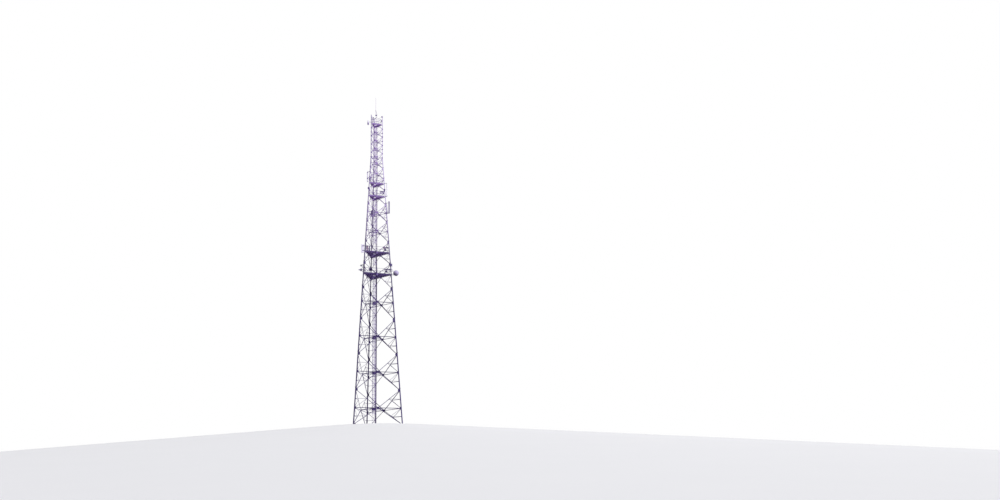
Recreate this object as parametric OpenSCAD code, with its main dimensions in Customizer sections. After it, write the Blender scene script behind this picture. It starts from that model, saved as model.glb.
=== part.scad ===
// Triangular lattice radio mast on three tubular legs, as a model at half the real size.
// A tapered part carries four platforms, and a straight top section carries the fifth.
// The origin is on the underside of the front left leg's base flange, on that leg's axis.
// +X runs along the front face to the front right leg, +Y towards the rear leg, +Z is up.

/* [Mast] */
// Side of the triangle of legs at the ground
base_side = 4600; // [4400:50:4800]
// Side of the triangle of legs in the straight top section
top_side = 1165; // [1140:5:1200]
// Height at which the tapered part ends
taper_height = 26500; // [26000:100:27000]
// Height of one panel in the straight top section
top_panel = 875; // [840:5:910]
// Height of the leg ends above the highest bracing level
leg_rise = 975; // [900:5:1050]

/* [Legs] */
// Radius of the leg tubes in the lowest part
leg_r = 55; // [50:1:58]
// Step by which the tube radius shrinks from part to part
leg_step = 8; // [6:1:9]
// Thickness of a pair of splice flanges
splice_t = 24; // [18:1:30]
// Overhang of the splice flanges beyond their tube
splice_over = 30; // [24:1:34]
// Radius of the base flange
foot_r = 150; // [146:1:165]
// Thickness of the base flange
foot_t = 20; // [16:1:24]
// Radius of the circle of anchor bolt holes
bolt_ring_r = 122; // [118:1:126]
// Radius of an anchor bolt hole
bolt_hole_r = 11; // [9:0.5:12]

/* [Bracing] */
// Flange width of the bracing angles in the lowest part
angle_w = 50; // [46:1:54]
// Step by which the flange width shrinks from part to part
angle_step = 8; // [7:0.5:9]
// Thickness of the bracing angles
angle_t = 5; // [4:0.5:6]
// Thickness of the gusset plates
gusset_t = 8; // [6:1:10]
// Height and width of the bars that brace the plan
plan_bar = 40; // [34:1:44]
// Clearance between pieces that rest on each other
seat = 0.3; // [0.2:0.05:0.4]

/* [Platforms] */
// Depth of a platform's frame with its plate
deck_h = 50; // [40:1:60]
// Thickness of the floor plate
deck_t = 6; // [4:1:8]
// Clear distance from the face of the mast to the edge of a platform
deck_inset = 25; // [22:1:28]
// Width of the hatch over the ladder
hatch_w = 280; // [270:5:290]
// Height of the hand rail above the floor plate
rail_h = 550; // [520:5:580]
// Radius of the rails and their posts
rail_r = 12; // [10:1:13]

/* [Ladder and feeders] */
// Width of the ladder between the middles of its stiles
ladder_w = 200; // [190:2:210]
// Distance between rungs
rung_pitch = 150; // [140:5:160]
// Radius of a rung
rung_r = 7; // [6:0.5:9]
// Distance between the hoops of the cage
hoop_pitch = 350; // [330:5:370]
// Distance from the cage's middle to its flat sides
cage_r = 160; // [150:1:165]
// Width of the cable tray between the middles of its rails
tray_w = 122; // [116:1:126]
// Radius of a feeder cable
feeder_r = 11; // [9:0.5:12]

/* [Antennas] */
// Radius of the drum antenna
drum_r = 255; // [240:5:270]
// Radius of the larger of the two small dishes
dish_r = 140; // [130:2:150]
// Length of the long panel antennas
panel_len = 1190; // [1150:10:1220]
// Width of the long panel antennas
panel_w = 130; // [120:2:140]
// Length of the lightning rod
rod_len = 1980; // [1900:10:2050]

/* [Hidden] */

// Bracing levels of the tapered part at its standard height of 26500, measured from the ground
standard_levels = [1675, 5000, 8350, 11675, 14400, 16575, 18800, 20700, 22350, 23700, 24800, 25900];
levels = [for (z = standard_levels) z * taper_height / 26500];
level_count = len(levels);
top_first = taper_height + 40;
top_levels = [for (i = [0:4]) top_first + i * top_panel];
top_height = top_levels[4];
leg_top = top_height + leg_rise;

// Parts of the tapered height, by the index of their levels
lower_part = [0:3];
middle_part = [4:7];
upper_part = [8:11];

function inner_r(side) = side / (2 * sqrt(3));
function side_at(z) = z < taper_height ? base_side - (base_side - top_side) * z / taper_height : top_side;
axis_x = base_side / 2;
axis_y = inner_r(base_side);
tilt = atan((inner_r(base_side) - inner_r(top_side)) / taper_height);
slope = cos(tilt);
part_leg_r = [leg_r, leg_r - leg_step, leg_r - 2 * leg_step, leg_r - 3 * leg_step];
part_angle_w = [angle_w, angle_w - angle_step, angle_w - 2 * angle_step, angle_w - 3 * angle_step];
function part_of(i) = i < 4 ? 0 : i < 8 ? 1 : 2;

steel = [0.33, 0.31, 0.40];
pale_steel = [0.55, 0.53, 0.60];
deck_color = [0.29, 0.25, 0.40];
cable_color = [0.16, 0.15, 0.20];
antenna_color = [0.80, 0.80, 0.84];

// Levels of the platforms and the heights at which the ladder and the tray are held
platform_levels = [levels[4], levels[5], levels[8], levels[9], top_height];
plate_top = 20;
deck_bottom = plate_top + seat;
ladder_x = axis_x - 75;
tray_x = axis_x + 155;
ladder_front = 100;
stile_d = 30;
stile_w = 10;
ladder_back = ladder_front + stile_d;
cage_mid_y = ladder_front + (ladder_w + stile_w) / 2 - cage_r * sqrt(2);

// Turns a child from the front face or the front left leg to face or leg number k
module turned(k) {
  translate([axis_x, axis_y, 0])
    rotate([0, 0, 120 * k])
      translate([-axis_x, -axis_y, 0])
        children();
}

// Stands a child drawn in the plane of the front face on that face: X along it, Y up its slope
module on_taper_face(k) {
  turned(k)
    rotate([90 - tilt, 0, 0])
      children();
}

module on_top_face(k) {
  turned(k)
    translate([(base_side - top_side) / 2, axis_y - inner_r(top_side), 0])
      rotate([90, 0, 0])
        children();
}

function left_x(z) = (base_side - side_at(z)) / 2;
function on_left(z) = [left_x(z), z / slope];
function on_right(z) = [base_side - left_x(z), z / slope];
function on_mid(z) = [base_side / 2, z / slope];

// Angle bar in a face, from point p to point q, cut back by gap_p and gap_q at its ends
module angle_bar(p, q, gap_p, gap_q, w, lap) {
  d = q - p;
  translate([p[0], p[1], gusset_t / 2 + lap])
    rotate([0, 0, atan2(d[1], d[0])])
      translate([gap_p, 0, 0])
        rotate([90, 0, 90])
          linear_extrude(norm(d) - gap_p - gap_q)
            polygon([[-w / 2, 0], [w / 2, 0], [w / 2, w * 0.8], [w / 2 - angle_t, w * 0.8],
                     [w / 2 - angle_t, angle_t], [-w / 2, angle_t]]);
}

// Gusset plate at the middle of a horizontal
module mid_gusset(p, w) {
  a = 2.7 * w;
  h = 2.2 * w;
  translate([p[0], p[1], -gusset_t / 2])
    linear_extrude(gusset_t)
      polygon([[-a, -h * 0.35], [-a * 0.7, -h], [a * 0.7, -h], [a, -h * 0.35],
               [a, h * 0.35], [a * 0.7, h], [-a * 0.7, h], [-a, h * 0.35]]);
}

// Gusset plate of thickness t on a leg, pointing along the face
module leg_gusset(p, reach, h, t) {
  translate([p[0], p[1], -t / 2])
    linear_extrude(t)
      polygon([[0, -h], [reach * 0.6, -h], [reach, -h * 0.45],
               [reach, h * 0.45], [reach * 0.6, h], [0, h]]);
}

// Depth by which bars of one piece run into their gusset, the thickness of the leg gussets on which
// such bars rest, and the half heights of the leg gussets at a level and between two levels, as
// shares of the bar's width
fuse = 0.5;
thin_gusset_t = gusset_t - 2 * (fuse + seat);
level_gusset = 1.1;
node_gusset = 2.8;
function leg_gap(r, w) = (r + 12 + 0.34 * w) / 0.74;
function mid_gap(w) = (0.95 * w + 6) / 0.56;

// Flat plate inside the middle of a horizontal, which carries the plan bars or a platform
module plan_gusset(z) {
  depth = min(150, inner_r(side_at(z)) * 0.2);
  translate([axis_x - 110, axis_y - inner_r(side_at(z)), z + plate_top - gusset_t])
    cube([220, depth, gusset_t]);
}

// The bars of one level of a tapered face: the horizontal with its gusset, and four diagonals
// that rest on the gussets
module taper_level(i, k) {
  z = levels[i];
  part = part_of(i);
  w = part_angle_w[part];
  r = part_leg_r[part];
  r_below = part_leg_r[part_of(max(i - 1, 0))];
  below = i == 0 ? foot_t + 150 : (levels[i - 1] + z) / 2;
  above = i == level_count - 1 ? taper_height - 90 : (levels[i + 1] + z) / 2;
  m = on_mid(z);
  on_taper_face(k) {
    angle_bar(on_left(z), on_right(z), r + 12, r + 12, w, -fuse);
    mid_gusset(m, w);
  }
  turned(k) plan_gusset(z);
  on_taper_face(k) {
    for (end = [on_left(below), on_right(below)])
      angle_bar(m, end, mid_gap(w), leg_gap(r_below, w), w, seat);
    for (end = [on_left(above), on_right(above)])
      angle_bar(m, end, mid_gap(w), leg_gap(r, w), w, seat);
  }
}

// The bars of one level of the straight top section
module top_level(i, k) {
  z = top_levels[i];
  w = part_angle_w[3];
  r = part_leg_r[3];
  m = [top_side / 2, z];
  ends = concat(i > 0 ? [z - top_panel / 2] : [], i < 4 ? [z + top_panel / 2] : []);
  on_top_face(k) {
    angle_bar([0, z], [top_side, z], r + 12, r + 12, w, -fuse);
    mid_gusset(m, w);
    for (e = ends, x = [0, top_side])
      angle_bar(m, [x, e], mid_gap(w), leg_gap(r, w), w, -fuse);
  }
  turned(k) plan_gusset(z);
}

module taper_bracing(part, k) {
  color(pale_steel)
    for (i = part)
      taper_level(i, k);
}

module top_bracing(k) {
  color(pale_steel)
    for (i = [0:4])
      top_level(i, k);
}

function leg_dir() = let (g = (base_side - top_side) / 2) [g, g / sqrt(3), taper_height];
function leg_point(z) = leg_dir() * z / taper_height;

// Cylinder of radius r along the tapered front left leg, between two heights.
// Its weld seam is turned away from the side to which the leg leans.
seam_turn = 100;
module leg_run(z0, z1, r) {
  d = leg_dir();
  translate(leg_point(z0))
    rotate([0, acos(d[2] / norm(d)), atan2(d[1], d[0])])
      rotate([0, 0, seam_turn])
        cylinder(r = r, h = (z1 - z0) * norm(d) / d[2], $fn = 32);
}

// Height of a splice: a short way above the gussets between two levels
function mid_height(i) = (levels[i] + levels[i + 1]) / 2;
function splice_at(i) = mid_height(i) + (node_gusset + 1) * part_angle_w[part_of(i)];

// Pair of gusset plates of one leg, in the two faces that meet there
module taper_leg_gussets(z, reach, h, t) {
  on_taper_face(0)
    leg_gusset(on_left(z), reach, h, t);
  on_taper_face(2)
    translate([base_side, 0, 0])
      mirror([1, 0, 0])
        leg_gusset(on_left(z), reach, h, t);
}

module top_leg_gussets(z, reach, h) {
  on_top_face(0)
    leg_gusset([0, z], reach, h, thin_gusset_t);
  on_top_face(2)
    translate([top_side, 0, 0])
      mirror([1, 0, 0])
        leg_gusset([0, z], reach, h, thin_gusset_t);
}

// Base flange with its anchor bolt holes and stiffening ribs
module foot() {
  difference() {
    cylinder(r = foot_r, h = foot_t, $fn = 64);
    for (a = [0:45:315])
      rotate([0, 0, a])
        translate([bolt_ring_r, 0, -1])
          cylinder(r = bolt_hole_r, h = foot_t + 2, $fn = 32);
  }
  for (a = [22.5:90:292.5])
    rotate([90, 0, a])
      translate([0, 0, -gusset_t / 2])
        linear_extrude(gusset_t)
          polygon([[leg_r - 20, foot_t - 1], [foot_r - 8, foot_t - 1], [foot_r - 8, foot_t + 12],
                   [leg_r + 8, foot_t + 90], [leg_r - 20, foot_t + 90]]);
}

module taper_leg(k) {
  bounds = [foot_t / 2, splice_at(3), splice_at(7), taper_height - splice_t / 4];
  end = leg_point(taper_height);
  color(steel)
    turned(k) {
      foot();
      for (p = [0:2])
        leg_run(bounds[p], bounds[p + 1], part_leg_r[p]);
      for (i = [0:10])
        leg_run(splice_at(i) - splice_t / 2, splice_at(i) + splice_t / 2,
                part_leg_r[part_of(i)] + splice_over);
      translate([end[0], end[1], taper_height - splice_t / 2])
        cylinder(r = part_leg_r[2] + splice_over, h = splice_t / 2, $fn = 32);
      for (i = [0:level_count - 1]) {
        w = part_angle_w[part_of(i)];
        r = part_leg_r[part_of(i)];
        taper_leg_gussets(levels[i], r + 12 + 2 * w, level_gusset * w, thin_gusset_t);
        if (i < level_count - 1)
          taper_leg_gussets(mid_height(i), r + 2.7 * w, node_gusset * w, gusset_t);
      }
      taper_leg_gussets(foot_t + 150, leg_r + 3 * angle_w, 2.4 * angle_w, gusset_t);
      taper_leg_gussets(taper_height - 90, part_leg_r[2] + 2.6 * part_angle_w[2], 70, gusset_t);
    }
}

module top_leg(k) {
  end = leg_point(taper_height);
  r = part_leg_r[3];
  w = part_angle_w[3];
  color(steel)
    turned(k) {
      translate([end[0], end[1], taper_height + seat]) {
        cylinder(r = part_leg_r[2] + splice_over, h = splice_t / 2, $fn = 32);
        cylinder(r = r, h = leg_top - taper_height - seat, $fn = 32);
      }
      translate([end[0], end[1], top_levels[2] + top_panel / 2 + (node_gusset + 1) * w])
        cylinder(r = r + splice_over * 0.8, h = splice_t, $fn = 32);
      for (i = [0:4]) {
        top_leg_gussets(top_levels[i], r + 12 + 2 * w, 0.8 * w);
        if (i < 4)
          top_leg_gussets(top_levels[i] + top_panel / 2, r + 3 * w, node_gusset * w);
      }
    }
}

// Bars of the triangle that joins the middles of the three faces at a level
module plan_triangle(z) {
  reach = side_at(z) / 2;
  for (k = [0:2])
    turned(k)
      translate([axis_x, axis_y - inner_r(side_at(z)), z + deck_bottom])
        rotate([0, 0, 60])
          translate([90, -plan_bar / 2, 0])
            cube([reach - 180, plan_bar, plan_bar]);
}

// Single bar behind the ladder, between the middles of the two rear faces
module plan_rear_bar(z) {
  half = side_at(z) / 4;
  translate([axis_x - half + 45, axis_y + inner_r(side_at(z)) / 2 - plan_bar / 2, z + deck_bottom])
    cube([2 * half - 90, plan_bar, plan_bar]);
}

// Bar across the plan triangle that holds the ladder and the tray
support_y = 150;
module ladder_support(z) {
  half = (support_y + plan_bar / 2 + inner_r(side_at(z))) / sqrt(3) + 12;
  translate([axis_x - half, axis_y + support_y, z + deck_bottom + plan_bar + seat])
    cube([2 * half, plan_bar, plan_bar * 0.75]);
}

triangle_levels = [0, 1, 2, 3, 6];
module plan_bracing_lower() {
  color(pale_steel)
    for (i = triangle_levels) {
      plan_triangle(levels[i]);
      ladder_support(levels[i]);
    }
}

rear_bar_heights = concat([levels[7], levels[10], levels[11]], [for (i = [0:3]) top_levels[i]]);
module plan_bracing_upper() {
  color(pale_steel)
    for (z = rear_bar_heights)
      plan_rear_bar(z);
}

// Corners of the triangle at height z, set in from the faces, with the corners cut off
function deck_points(z, inset, corner) =
  let (s = side_at(z), rr = 2 * inner_r(s) - 2 * inset, cut = corner / sqrt(3))
  [for (k = [0:2], e = [-1, 1])
    let (a = 210 + 120 * k,
         c = (rr - corner) * [cos(a), sin(a)],
         t = cut * [-sin(a), cos(a)])
    [axis_x, axis_y] + c + e * t];

hatch_x0 = ladder_x - hatch_w / 2;
hatch_x1 = ladder_x + hatch_w / 2;
hatch_y0 = axis_y - 190;
hatch_y1 = axis_y + ladder_back + 10;
slot_x0 = tray_x - tray_w / 2 - 12;
slot_x1 = tray_x + tray_w / 2 + 12;
slot_y0 = axis_y + ladder_front - 2 * feeder_r - 12;
rib_w = 16;
deck_corner_r = [part_leg_r[1], part_leg_r[1], part_leg_r[2], part_leg_r[2], part_leg_r[3]];

// Floor panel of platform p between two corners in plan: a plate with ribs under its edges
module floor_panel(p, x0, y0, x1, y1) {
  z = platform_levels[p];
  corner = deck_corner_r[p] - 15;
  gap = seat / 2;
  difference() {
    intersection() {
      translate([0, 0, z + deck_bottom])
        linear_extrude(deck_h)
          polygon(deck_points(z, deck_inset, corner));
      translate([x0 + gap, y0 + gap, z])
        cube([x1 - x0 - 2 * gap, y1 - y0 - 2 * gap, 3 * deck_h]);
    }
    intersection() {
      translate([0, 0, z + deck_bottom - 1])
        linear_extrude(deck_h - deck_t + 1)
          polygon(deck_points(z, deck_inset + rib_w, max(corner - rib_w, 2)));
      translate([x0 + rib_w, y0 + rib_w, z])
        cube([x1 - x0 - 2 * rib_w, y1 - y0 - 2 * rib_w, 3 * deck_h]);
    }
  }
}

// Floor of platform p: four or five panels around the hatch and the slot for the cables,
// with a bar between the two
module deck(p, slot) {
  z = platform_levels[p];
  half = side_at(z) / 2;
  x1 = slot ? slot_x1 : hatch_x1;
  color(deck_color) {
    floor_panel(p, axis_x - half, 0, hatch_x0, axis_y + 2 * half);
    floor_panel(p, x1, 0, axis_x + half, axis_y + 2 * half);
    floor_panel(p, hatch_x0, 0, x1, hatch_y0);
    floor_panel(p, hatch_x0, hatch_y1, x1, axis_y + 2 * half);
    if (slot) {
      floor_panel(p, hatch_x1, hatch_y0, slot_x1, slot_y0);
      translate([hatch_x1, slot_y0 + seat / 2, z + deck_bottom])
        cube([slot_x0 - hatch_x1, hatch_y1 - slot_y0 - seat, deck_h]);
    }
  }
}

// Railing along one side of a platform, with a toe board
module railing_side(p, k) {
  z = platform_levels[p] + deck_bottom + deck_h + seat;
  inset = deck_inset + rail_r + 10;
  s = side_at(platform_levels[p]);
  half = s / 2 - inset * sqrt(3) - 55;
  turned(k)
    translate([axis_x, axis_y - inner_r(s) + inset, z]) {
      for (x = half * [-1, 0, 1])
        translate([x, 0, 0])
          cylinder(r = rail_r, h = rail_h, $fn = 16);
      for (h = [rail_h * 0.52, rail_h])
        translate([-half - rail_r, 0, h])
          rotate([0, 90, 0])
            cylinder(r = rail_r, h = 2 * half + 2 * rail_r, $fn = 16);
      translate([-half, -3, 0])
        cube([2 * half, 6, 75]);
    }
}

module railing(p) {
  color(steel)
    for (k = [0:2])
      railing_side(p, k);
}

// Where the ladder and the tray are held: height and front face of what holds them
holds = concat(
  [for (i = triangle_levels) [levels[i] + deck_bottom + plan_bar + seat, support_y]],
  [for (z = rear_bar_heights) [z + deck_bottom, inner_r(side_at(z)) / 2 - plan_bar / 2]],
  [for (z = platform_levels) [z + deck_bottom, ladder_back + 10]]);

// Blocks between the back of a rail and what holds it, at the heights inside a range
module stand_offs(x, z0, z1) {
  for (h = holds)
    if (h[0] > z0 && h[0] + 30 < z1)
      translate([x - stile_w / 2, axis_y + ladder_back - 1, h[0] + 2])
        cube([stile_w, h[1] - ladder_back + 1 - seat, 24]);
}

module ladder_run(z0, z1) {
  color(pale_steel) {
    for (x = [ladder_x - ladder_w / 2, ladder_x + ladder_w / 2]) {
      translate([x - stile_w / 2, axis_y + ladder_front, z0])
        cube([stile_w, stile_d, z1 - z0]);
      stand_offs(x, z0, z1);
    }
    for (z = [z0 + rung_pitch / 2:rung_pitch:z1 - rung_r])
      translate([ladder_x - ladder_w / 2, axis_y + ladder_front + stile_d / 2, z])
        rotate([0, 90, 0])
          cylinder(r = rung_r, h = ladder_w, $fn = 8);
  }
}

ladder_cuts = [300, levels[3] + 600, levels[7] + 600, top_height + rail_h];

// One side of the cage: its upright strap and its share of every hoop.
// The two outermost sides end in a bent tail at the ladder's stile.
module cage_side(a, z0, z1) {
  corner = cage_r * tan(22.5);
  half = corner - seat;
  t = 4;
  strap = 12;
  side = a == 90 ? 1 : -1;
  tail = (cage_r - (ladder_w + stile_w) / 2) - seat;
  outline = abs(a) < 90
    ? [[-half, 0], [half, 0], [half, -t], [-half, -t]]
    : [[-half, 0], [corner, 0], [corner + tail, tail], [corner + tail + t * cos(45), tail - t * sin(45)],
       [corner + t * tan(22.5), -t], [-half, -t]];
  translate([ladder_x, axis_y + cage_mid_y, 0])
    rotate([0, 0, a])
      translate([0, -cage_r, 0]) {
        translate([-strap, -0.5, z0])
          cube([2 * strap, 5, z1 - z0]);
        for (z = [z0 + 10:hoop_pitch:z1 - 34])
          translate([0, 0, z])
            linear_extrude(24)
              polygon([for (p = outline) [abs(a) < 90 ? p[0] : side * p[0], p[1]]]);
      }
}

cage_runs = [[1250, platform_levels[0] - 40],
             [platform_levels[0] + 1100, platform_levels[1] - 40],
             [platform_levels[1] + 1100, platform_levels[2] - 40],
             [platform_levels[3] + 1100, top_height - 40]];

module ladder_cage() {
  color(pale_steel)
    for (run = cage_runs, a = [-90:45:90])
      cage_side(a, run[0], run[1]);
}

tray_top = top_height - 60;
module cable_tray() {
  color(pale_steel) {
    for (x = [tray_x - tray_w / 2, tray_x + tray_w / 2]) {
      translate([x - 4, axis_y + ladder_front, 300])
        cube([8, stile_d, tray_top - 300]);
      stand_offs(x, 300, tray_top);
    }
    for (z = [400:400:tray_top - 20])
      translate([tray_x - tray_w / 2, axis_y + ladder_front, z])
        cube([tray_w, 10, 16]);
  }
}

// Each feeder ends a short way above the platform that it serves
feeder_foot = 320;
feeder_y = axis_y + ladder_front - feeder_r - seat;
feeder_tops = [top_height - 700, platform_levels[2] + 700, platform_levels[1] + 300,
               top_height - 1700, platform_levels[0] + 500];
module feeder_cables() {
  color(cable_color)
    for (i = [0:4])
      translate([tray_x + (i - 2) * (2 * feeder_r + 1), feeder_y, feeder_foot])
        cylinder(r = feeder_r, h = feeder_tops[i] - feeder_foot, $fn = 16);
}

// Outward direction of leg k and its place in plan at height z
function outward(k) = [cos(210 + 120 * k), sin(210 + 120 * k)];
function leg_xy(k, z) = [axis_x, axis_y] + 2 * inner_r(side_at(z)) * outward(k);

function leg_r_at(z) =
  part_leg_r[z < splice_at(3) ? 0 : z < splice_at(7) ? 1 : z < taper_height ? 2 : 3];

// Clamp ring around leg k, which follows the leg's slope
clamp_h = 50;
clamp_t = 14;
module leg_clamp(k, z) {
  turned(k)
    difference() {
      leg_run(z - clamp_h / 2, z + clamp_h / 2, leg_r_at(z) + clamp_t);
      leg_run(z - clamp_h, z + clamp_h, leg_r_at(z) + seat);
    }
}

// Heights at which a clamp's middle stays clear of the gussets and the splices
clamp_room = 27 + clamp_h / 2;
function above_level(i) = levels[i] + level_gusset * part_angle_w[part_of(i)] + clamp_room;
function below_level(i) = levels[i] - level_gusset * part_angle_w[part_of(i)] - clamp_room;
function below_node(i) = mid_height(i) - node_gusset * part_angle_w[part_of(i)] - clamp_room;
function above_splice(i) = splice_at(i) + splice_t / 2 + clamp_room;

// Arm of square bar from the clamp on leg k to a point in plan
module leg_arm(k, z, to) {
  bar = 26;
  p = leg_xy(k, z);
  d = to - p;
  start = leg_r_at(z) + 8;
  translate([p[0], p[1], z])
    rotate([0, 0, atan2(d[1], d[0])])
      translate([start, -bar / 2, -bar / 2])
        cube([norm(d) - start, bar, bar]);
}

// Upright pipe beside leg k on clamped arms at two heights, which holds an antenna
module side_pipe(k, z0, z1, arms, to, pipe_r) {
  translate([to[0], to[1], z0])
    cylinder(r = pipe_r, h = z1 - z0, $fn = 24);
  for (z = arms) {
    leg_clamp(k, z);
    leg_arm(k, z, to);
  }
}

// Box with rounded upright edges, from the origin back along +Y
module radome_box(w, d, h, edge) {
  linear_extrude(h)
    polygon([for (c = [[w / 2 - edge, edge, -90], [w / 2 - edge, d - edge, 0],
                       [edge - w / 2, d - edge, 90], [edge - w / 2, edge, 180]],
                  a = [0:30:90])
      [c[0] + edge * cos(c[2] + a), c[1] + edge * sin(c[2] + a)]]);
}

// Directions in plan in which the antennas stand out from the front legs
right_way = [0.92, -0.39];
left_way = -right_way;

drum_arms = [above_level(4), above_level(4) + 300];
drum_z = drum_arms[0] + 35;
drum_xy = leg_xy(1, drum_z) + 445 * right_way;
drum_turn = -10;
drum_pipe_r = 28;
drum_depth = 240;
drum_dome = 115;
module drum_antenna() {
  lip = drum_depth * 0.5;
  color(antenna_color)
    translate([drum_xy[0], drum_xy[1], drum_z])
      rotate([0, 0, drum_turn])
        translate([0, -drum_pipe_r - seat, 0])
          rotate([90, 0, 0])
            rotate_extrude($fn = 64)
              polygon(concat([[0, 0], [62, 0], [62, 42], [drum_r * 0.6, 50], [drum_r - 8, lip - 18],
                              [drum_r - 8, lip], [drum_r, lip], [drum_r, drum_depth]],
                             [for (a = [10:10:80]) [drum_r * cos(a), drum_depth + drum_dome * sin(a)]],
                             [[0, drum_depth + drum_dome]]));
}

module drum_mount() {
  color(steel)
    side_pipe(1, drum_z - 180, drum_z + 320, drum_arms, drum_xy, drum_pipe_r);
}

// Slim upright tube on the same leg, above the drum
tube_arms = [drum_arms[1] + 150, below_node(4)];
tube_r = 22;
tube_xy = leg_xy(1, (tube_arms[0] + tube_arms[1]) / 2) + 130 * right_way;
module tube_antenna() {
  color(antenna_color)
    side_pipe(1, tube_arms[0] - 60, tube_arms[1] + 210, tube_arms, tube_xy, tube_r);
}

// The two small dishes: their heights, their radii and how far their pipes stand out from the leg
small_z = [above_level(4) + 240, below_node(4) - 150];
small_r = [dish_r, dish_r * 0.6];
small_out = [130, 190];
small_xy = [for (i = [0, 1]) leg_xy(0, small_z[i]) + small_out[i] * left_way];
small_turn = -8;

// Dish that faces along -X: the curve of its reflector, its rim and the cone of its cover
module small_dish(r) {
  depth = r * 0.3;
  rim = r * 0.22;
  nose = r * 1.15;
  rotate([0, -90, 0])
    rotate_extrude($fn = 48)
      polygon(concat([[0, 0]], [for (t = [0.25:0.25:1]) [t * r, t * t * depth]],
                     [[r + 4, depth], [r + 4, depth + rim], [r, depth + rim]],
                     [[0.14 * r, depth + rim + 0.86 * nose], [0, depth + rim + 0.9 * nose]]));
}

module small_dishes() {
  color(antenna_color)
    for (i = [0, 1])
      translate([small_xy[i][0], small_xy[i][1], small_z[i]])
        rotate([0, 0, small_turn])
          translate([-40, 0, 0]) {
            small_dish(small_r[i]);
            translate([-6, 0, 0])
              rotate([0, 90, 0])
                cylinder(r = 16, h = 48, $fn = 24);
          }
  color(steel)
    for (i = [0, 1]) {
      translate([small_xy[i][0], small_xy[i][1], small_z[i] - 60])
        cylinder(r = 20, h = 120, $fn = 24);
      leg_clamp(0, small_z[i]);
      leg_arm(0, small_z[i], small_xy[i]);
    }
}

left_panel_arms = [above_level(5), above_level(5) + 480];
left_panel_z = left_panel_arms[0] - 195;
left_panel_xy = leg_xy(0, left_panel_z + 400) + 225 * left_way;
module left_panel_antenna() {
  h = 800;
  color(steel)
    side_pipe(0, left_panel_z, left_panel_z + h, left_panel_arms, left_panel_xy, 18);
  color(antenna_color)
    translate([left_panel_xy[0], left_panel_xy[1], left_panel_z + 10])
      rotate([0, 0, -20])
        translate([0, -17, 0])
          mirror([0, 1, 0])
            radome_box(260, 90, h - 20, 20);
}

// Narrow panel antenna of length len on a pipe beside leg k, standing at xy and turned by turn,
// with its lower end at z
module narrow_panel(k, z, len, arms, xy, turn) {
  color(steel)
    side_pipe(k, min(arms[0], z) - 60, max(arms[1], z + len) + 60, arms, xy, narrow_pipe_r);
  color(antenna_color)
    translate([xy[0], xy[1], z])
      rotate([0, 0, turn])
        translate([0, 1 - narrow_pipe_r, 0])
          mirror([0, 1, 0])
            radome_box(panel_w, 60, len, 18);
}

narrow_pipe_r = 16;
upper_left_arms = [below_node(9), above_level(10)];
upper_left_z = upper_left_arms[0] - 260;
upper_left_xy = leg_xy(0, upper_left_z + 500) + 190 * left_way;
side_panel_arms = [above_level(7), above_splice(7)];
side_panel_z = side_panel_arms[0] - 120;
side_panel_xy = leg_xy(1, side_panel_z + 600) + 290 * right_way;
high_panel_arms = [above_level(8), above_level(9)];
high_panel_z = high_panel_arms[0] + 50;
high_panel_xy = leg_xy(1, high_panel_z + 600) + 180 * right_way;

rear_panel_arms = [above_level(7) + 60, below_node(7)];
rear_panel_z = rear_panel_arms[0] - 80;
rear_panel_xy = leg_xy(2, rear_panel_z + 340) + 120 * outward(2);
module rear_panel_antenna() {
  h = 680;
  color(steel)
    side_pipe(2, rear_panel_z, rear_panel_z + h, rear_panel_arms, rear_panel_xy, 16);
  color(antenna_color)
    translate([rear_panel_xy[0], rear_panel_xy[1] + 15, rear_panel_z + 20])
      radome_box(290, 70, h - 40, 20);
}

// Cabinet on the floor of the second platform, in the front left corner, and a small box on the
// front hand rail beside the front right leg
cabinet = [130, 110, 470];
rail_box = [150, 100, 170];
module equipment_boxes() {
  z = platform_levels[1] + deck_bottom + deck_h + seat;
  s = side_at(platform_levels[1]);
  corner = leg_xy(0, platform_levels[1]) - 340 * outward(0);
  grip = rail_r + 5;
  color(antenna_color) {
    translate([corner[0] - cabinet[0] / 2, corner[1] - cabinet[1] / 2, z])
      cube(cabinet);
    translate([axis_x + 0.285 * s, axis_y - inner_r(s) + deck_inset + rail_r + 10, z + rail_h])
      difference() {
        union() {
          translate([-rail_box[0] / 2, grip - 1, -rail_box[2] * 0.7])
            cube(rail_box);
          translate([-30, -grip, -grip])
            cube([60, 2 * grip, 2 * grip]);
        }
        translate([-31, 0, 0])
          rotate([0, 90, 0])
            cylinder(r = rail_r + seat, h = 62, $fn = 24);
      }
  }
}

// Lightning rod beside the rear leg: a slanted arm from the leg's cap carries a short post,
// and two straps hold the rod beside the post
module lightning_rod() {
  p = leg_xy(2, leg_top);
  reach = 250;
  rise = 215;
  rod_x = reach - 105;
  rod_foot = rise + 140;
  color(steel)
    translate([p[0], p[1], leg_top + seat])
      rotate([0, 0, atan2(right_way[1], right_way[0])]) {
        cylinder(r = part_leg_r[3], h = 10, $fn = 32);
        translate([0, 0, 14])
          rotate([0, atan2(reach, rise), 0])
            cylinder(r = 14, h = norm([reach, rise]), $fn = 24);
        translate([reach, 0, rise - 30])
          cylinder(r = 16, h = 330, $fn = 24);
        for (z = [rod_foot + 30, rod_foot + 120])
          translate([rod_x - 20, -12, z])
            cube([reach - rod_x + 40, 24, 16]);
        translate([rod_x, 0, rod_foot])
          cylinder(r = 12, h = 230, $fn = 24);
        translate([rod_x, 0, rod_foot])
          cylinder(r = 9, h = rod_len, $fn = 24);
      }
}

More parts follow.
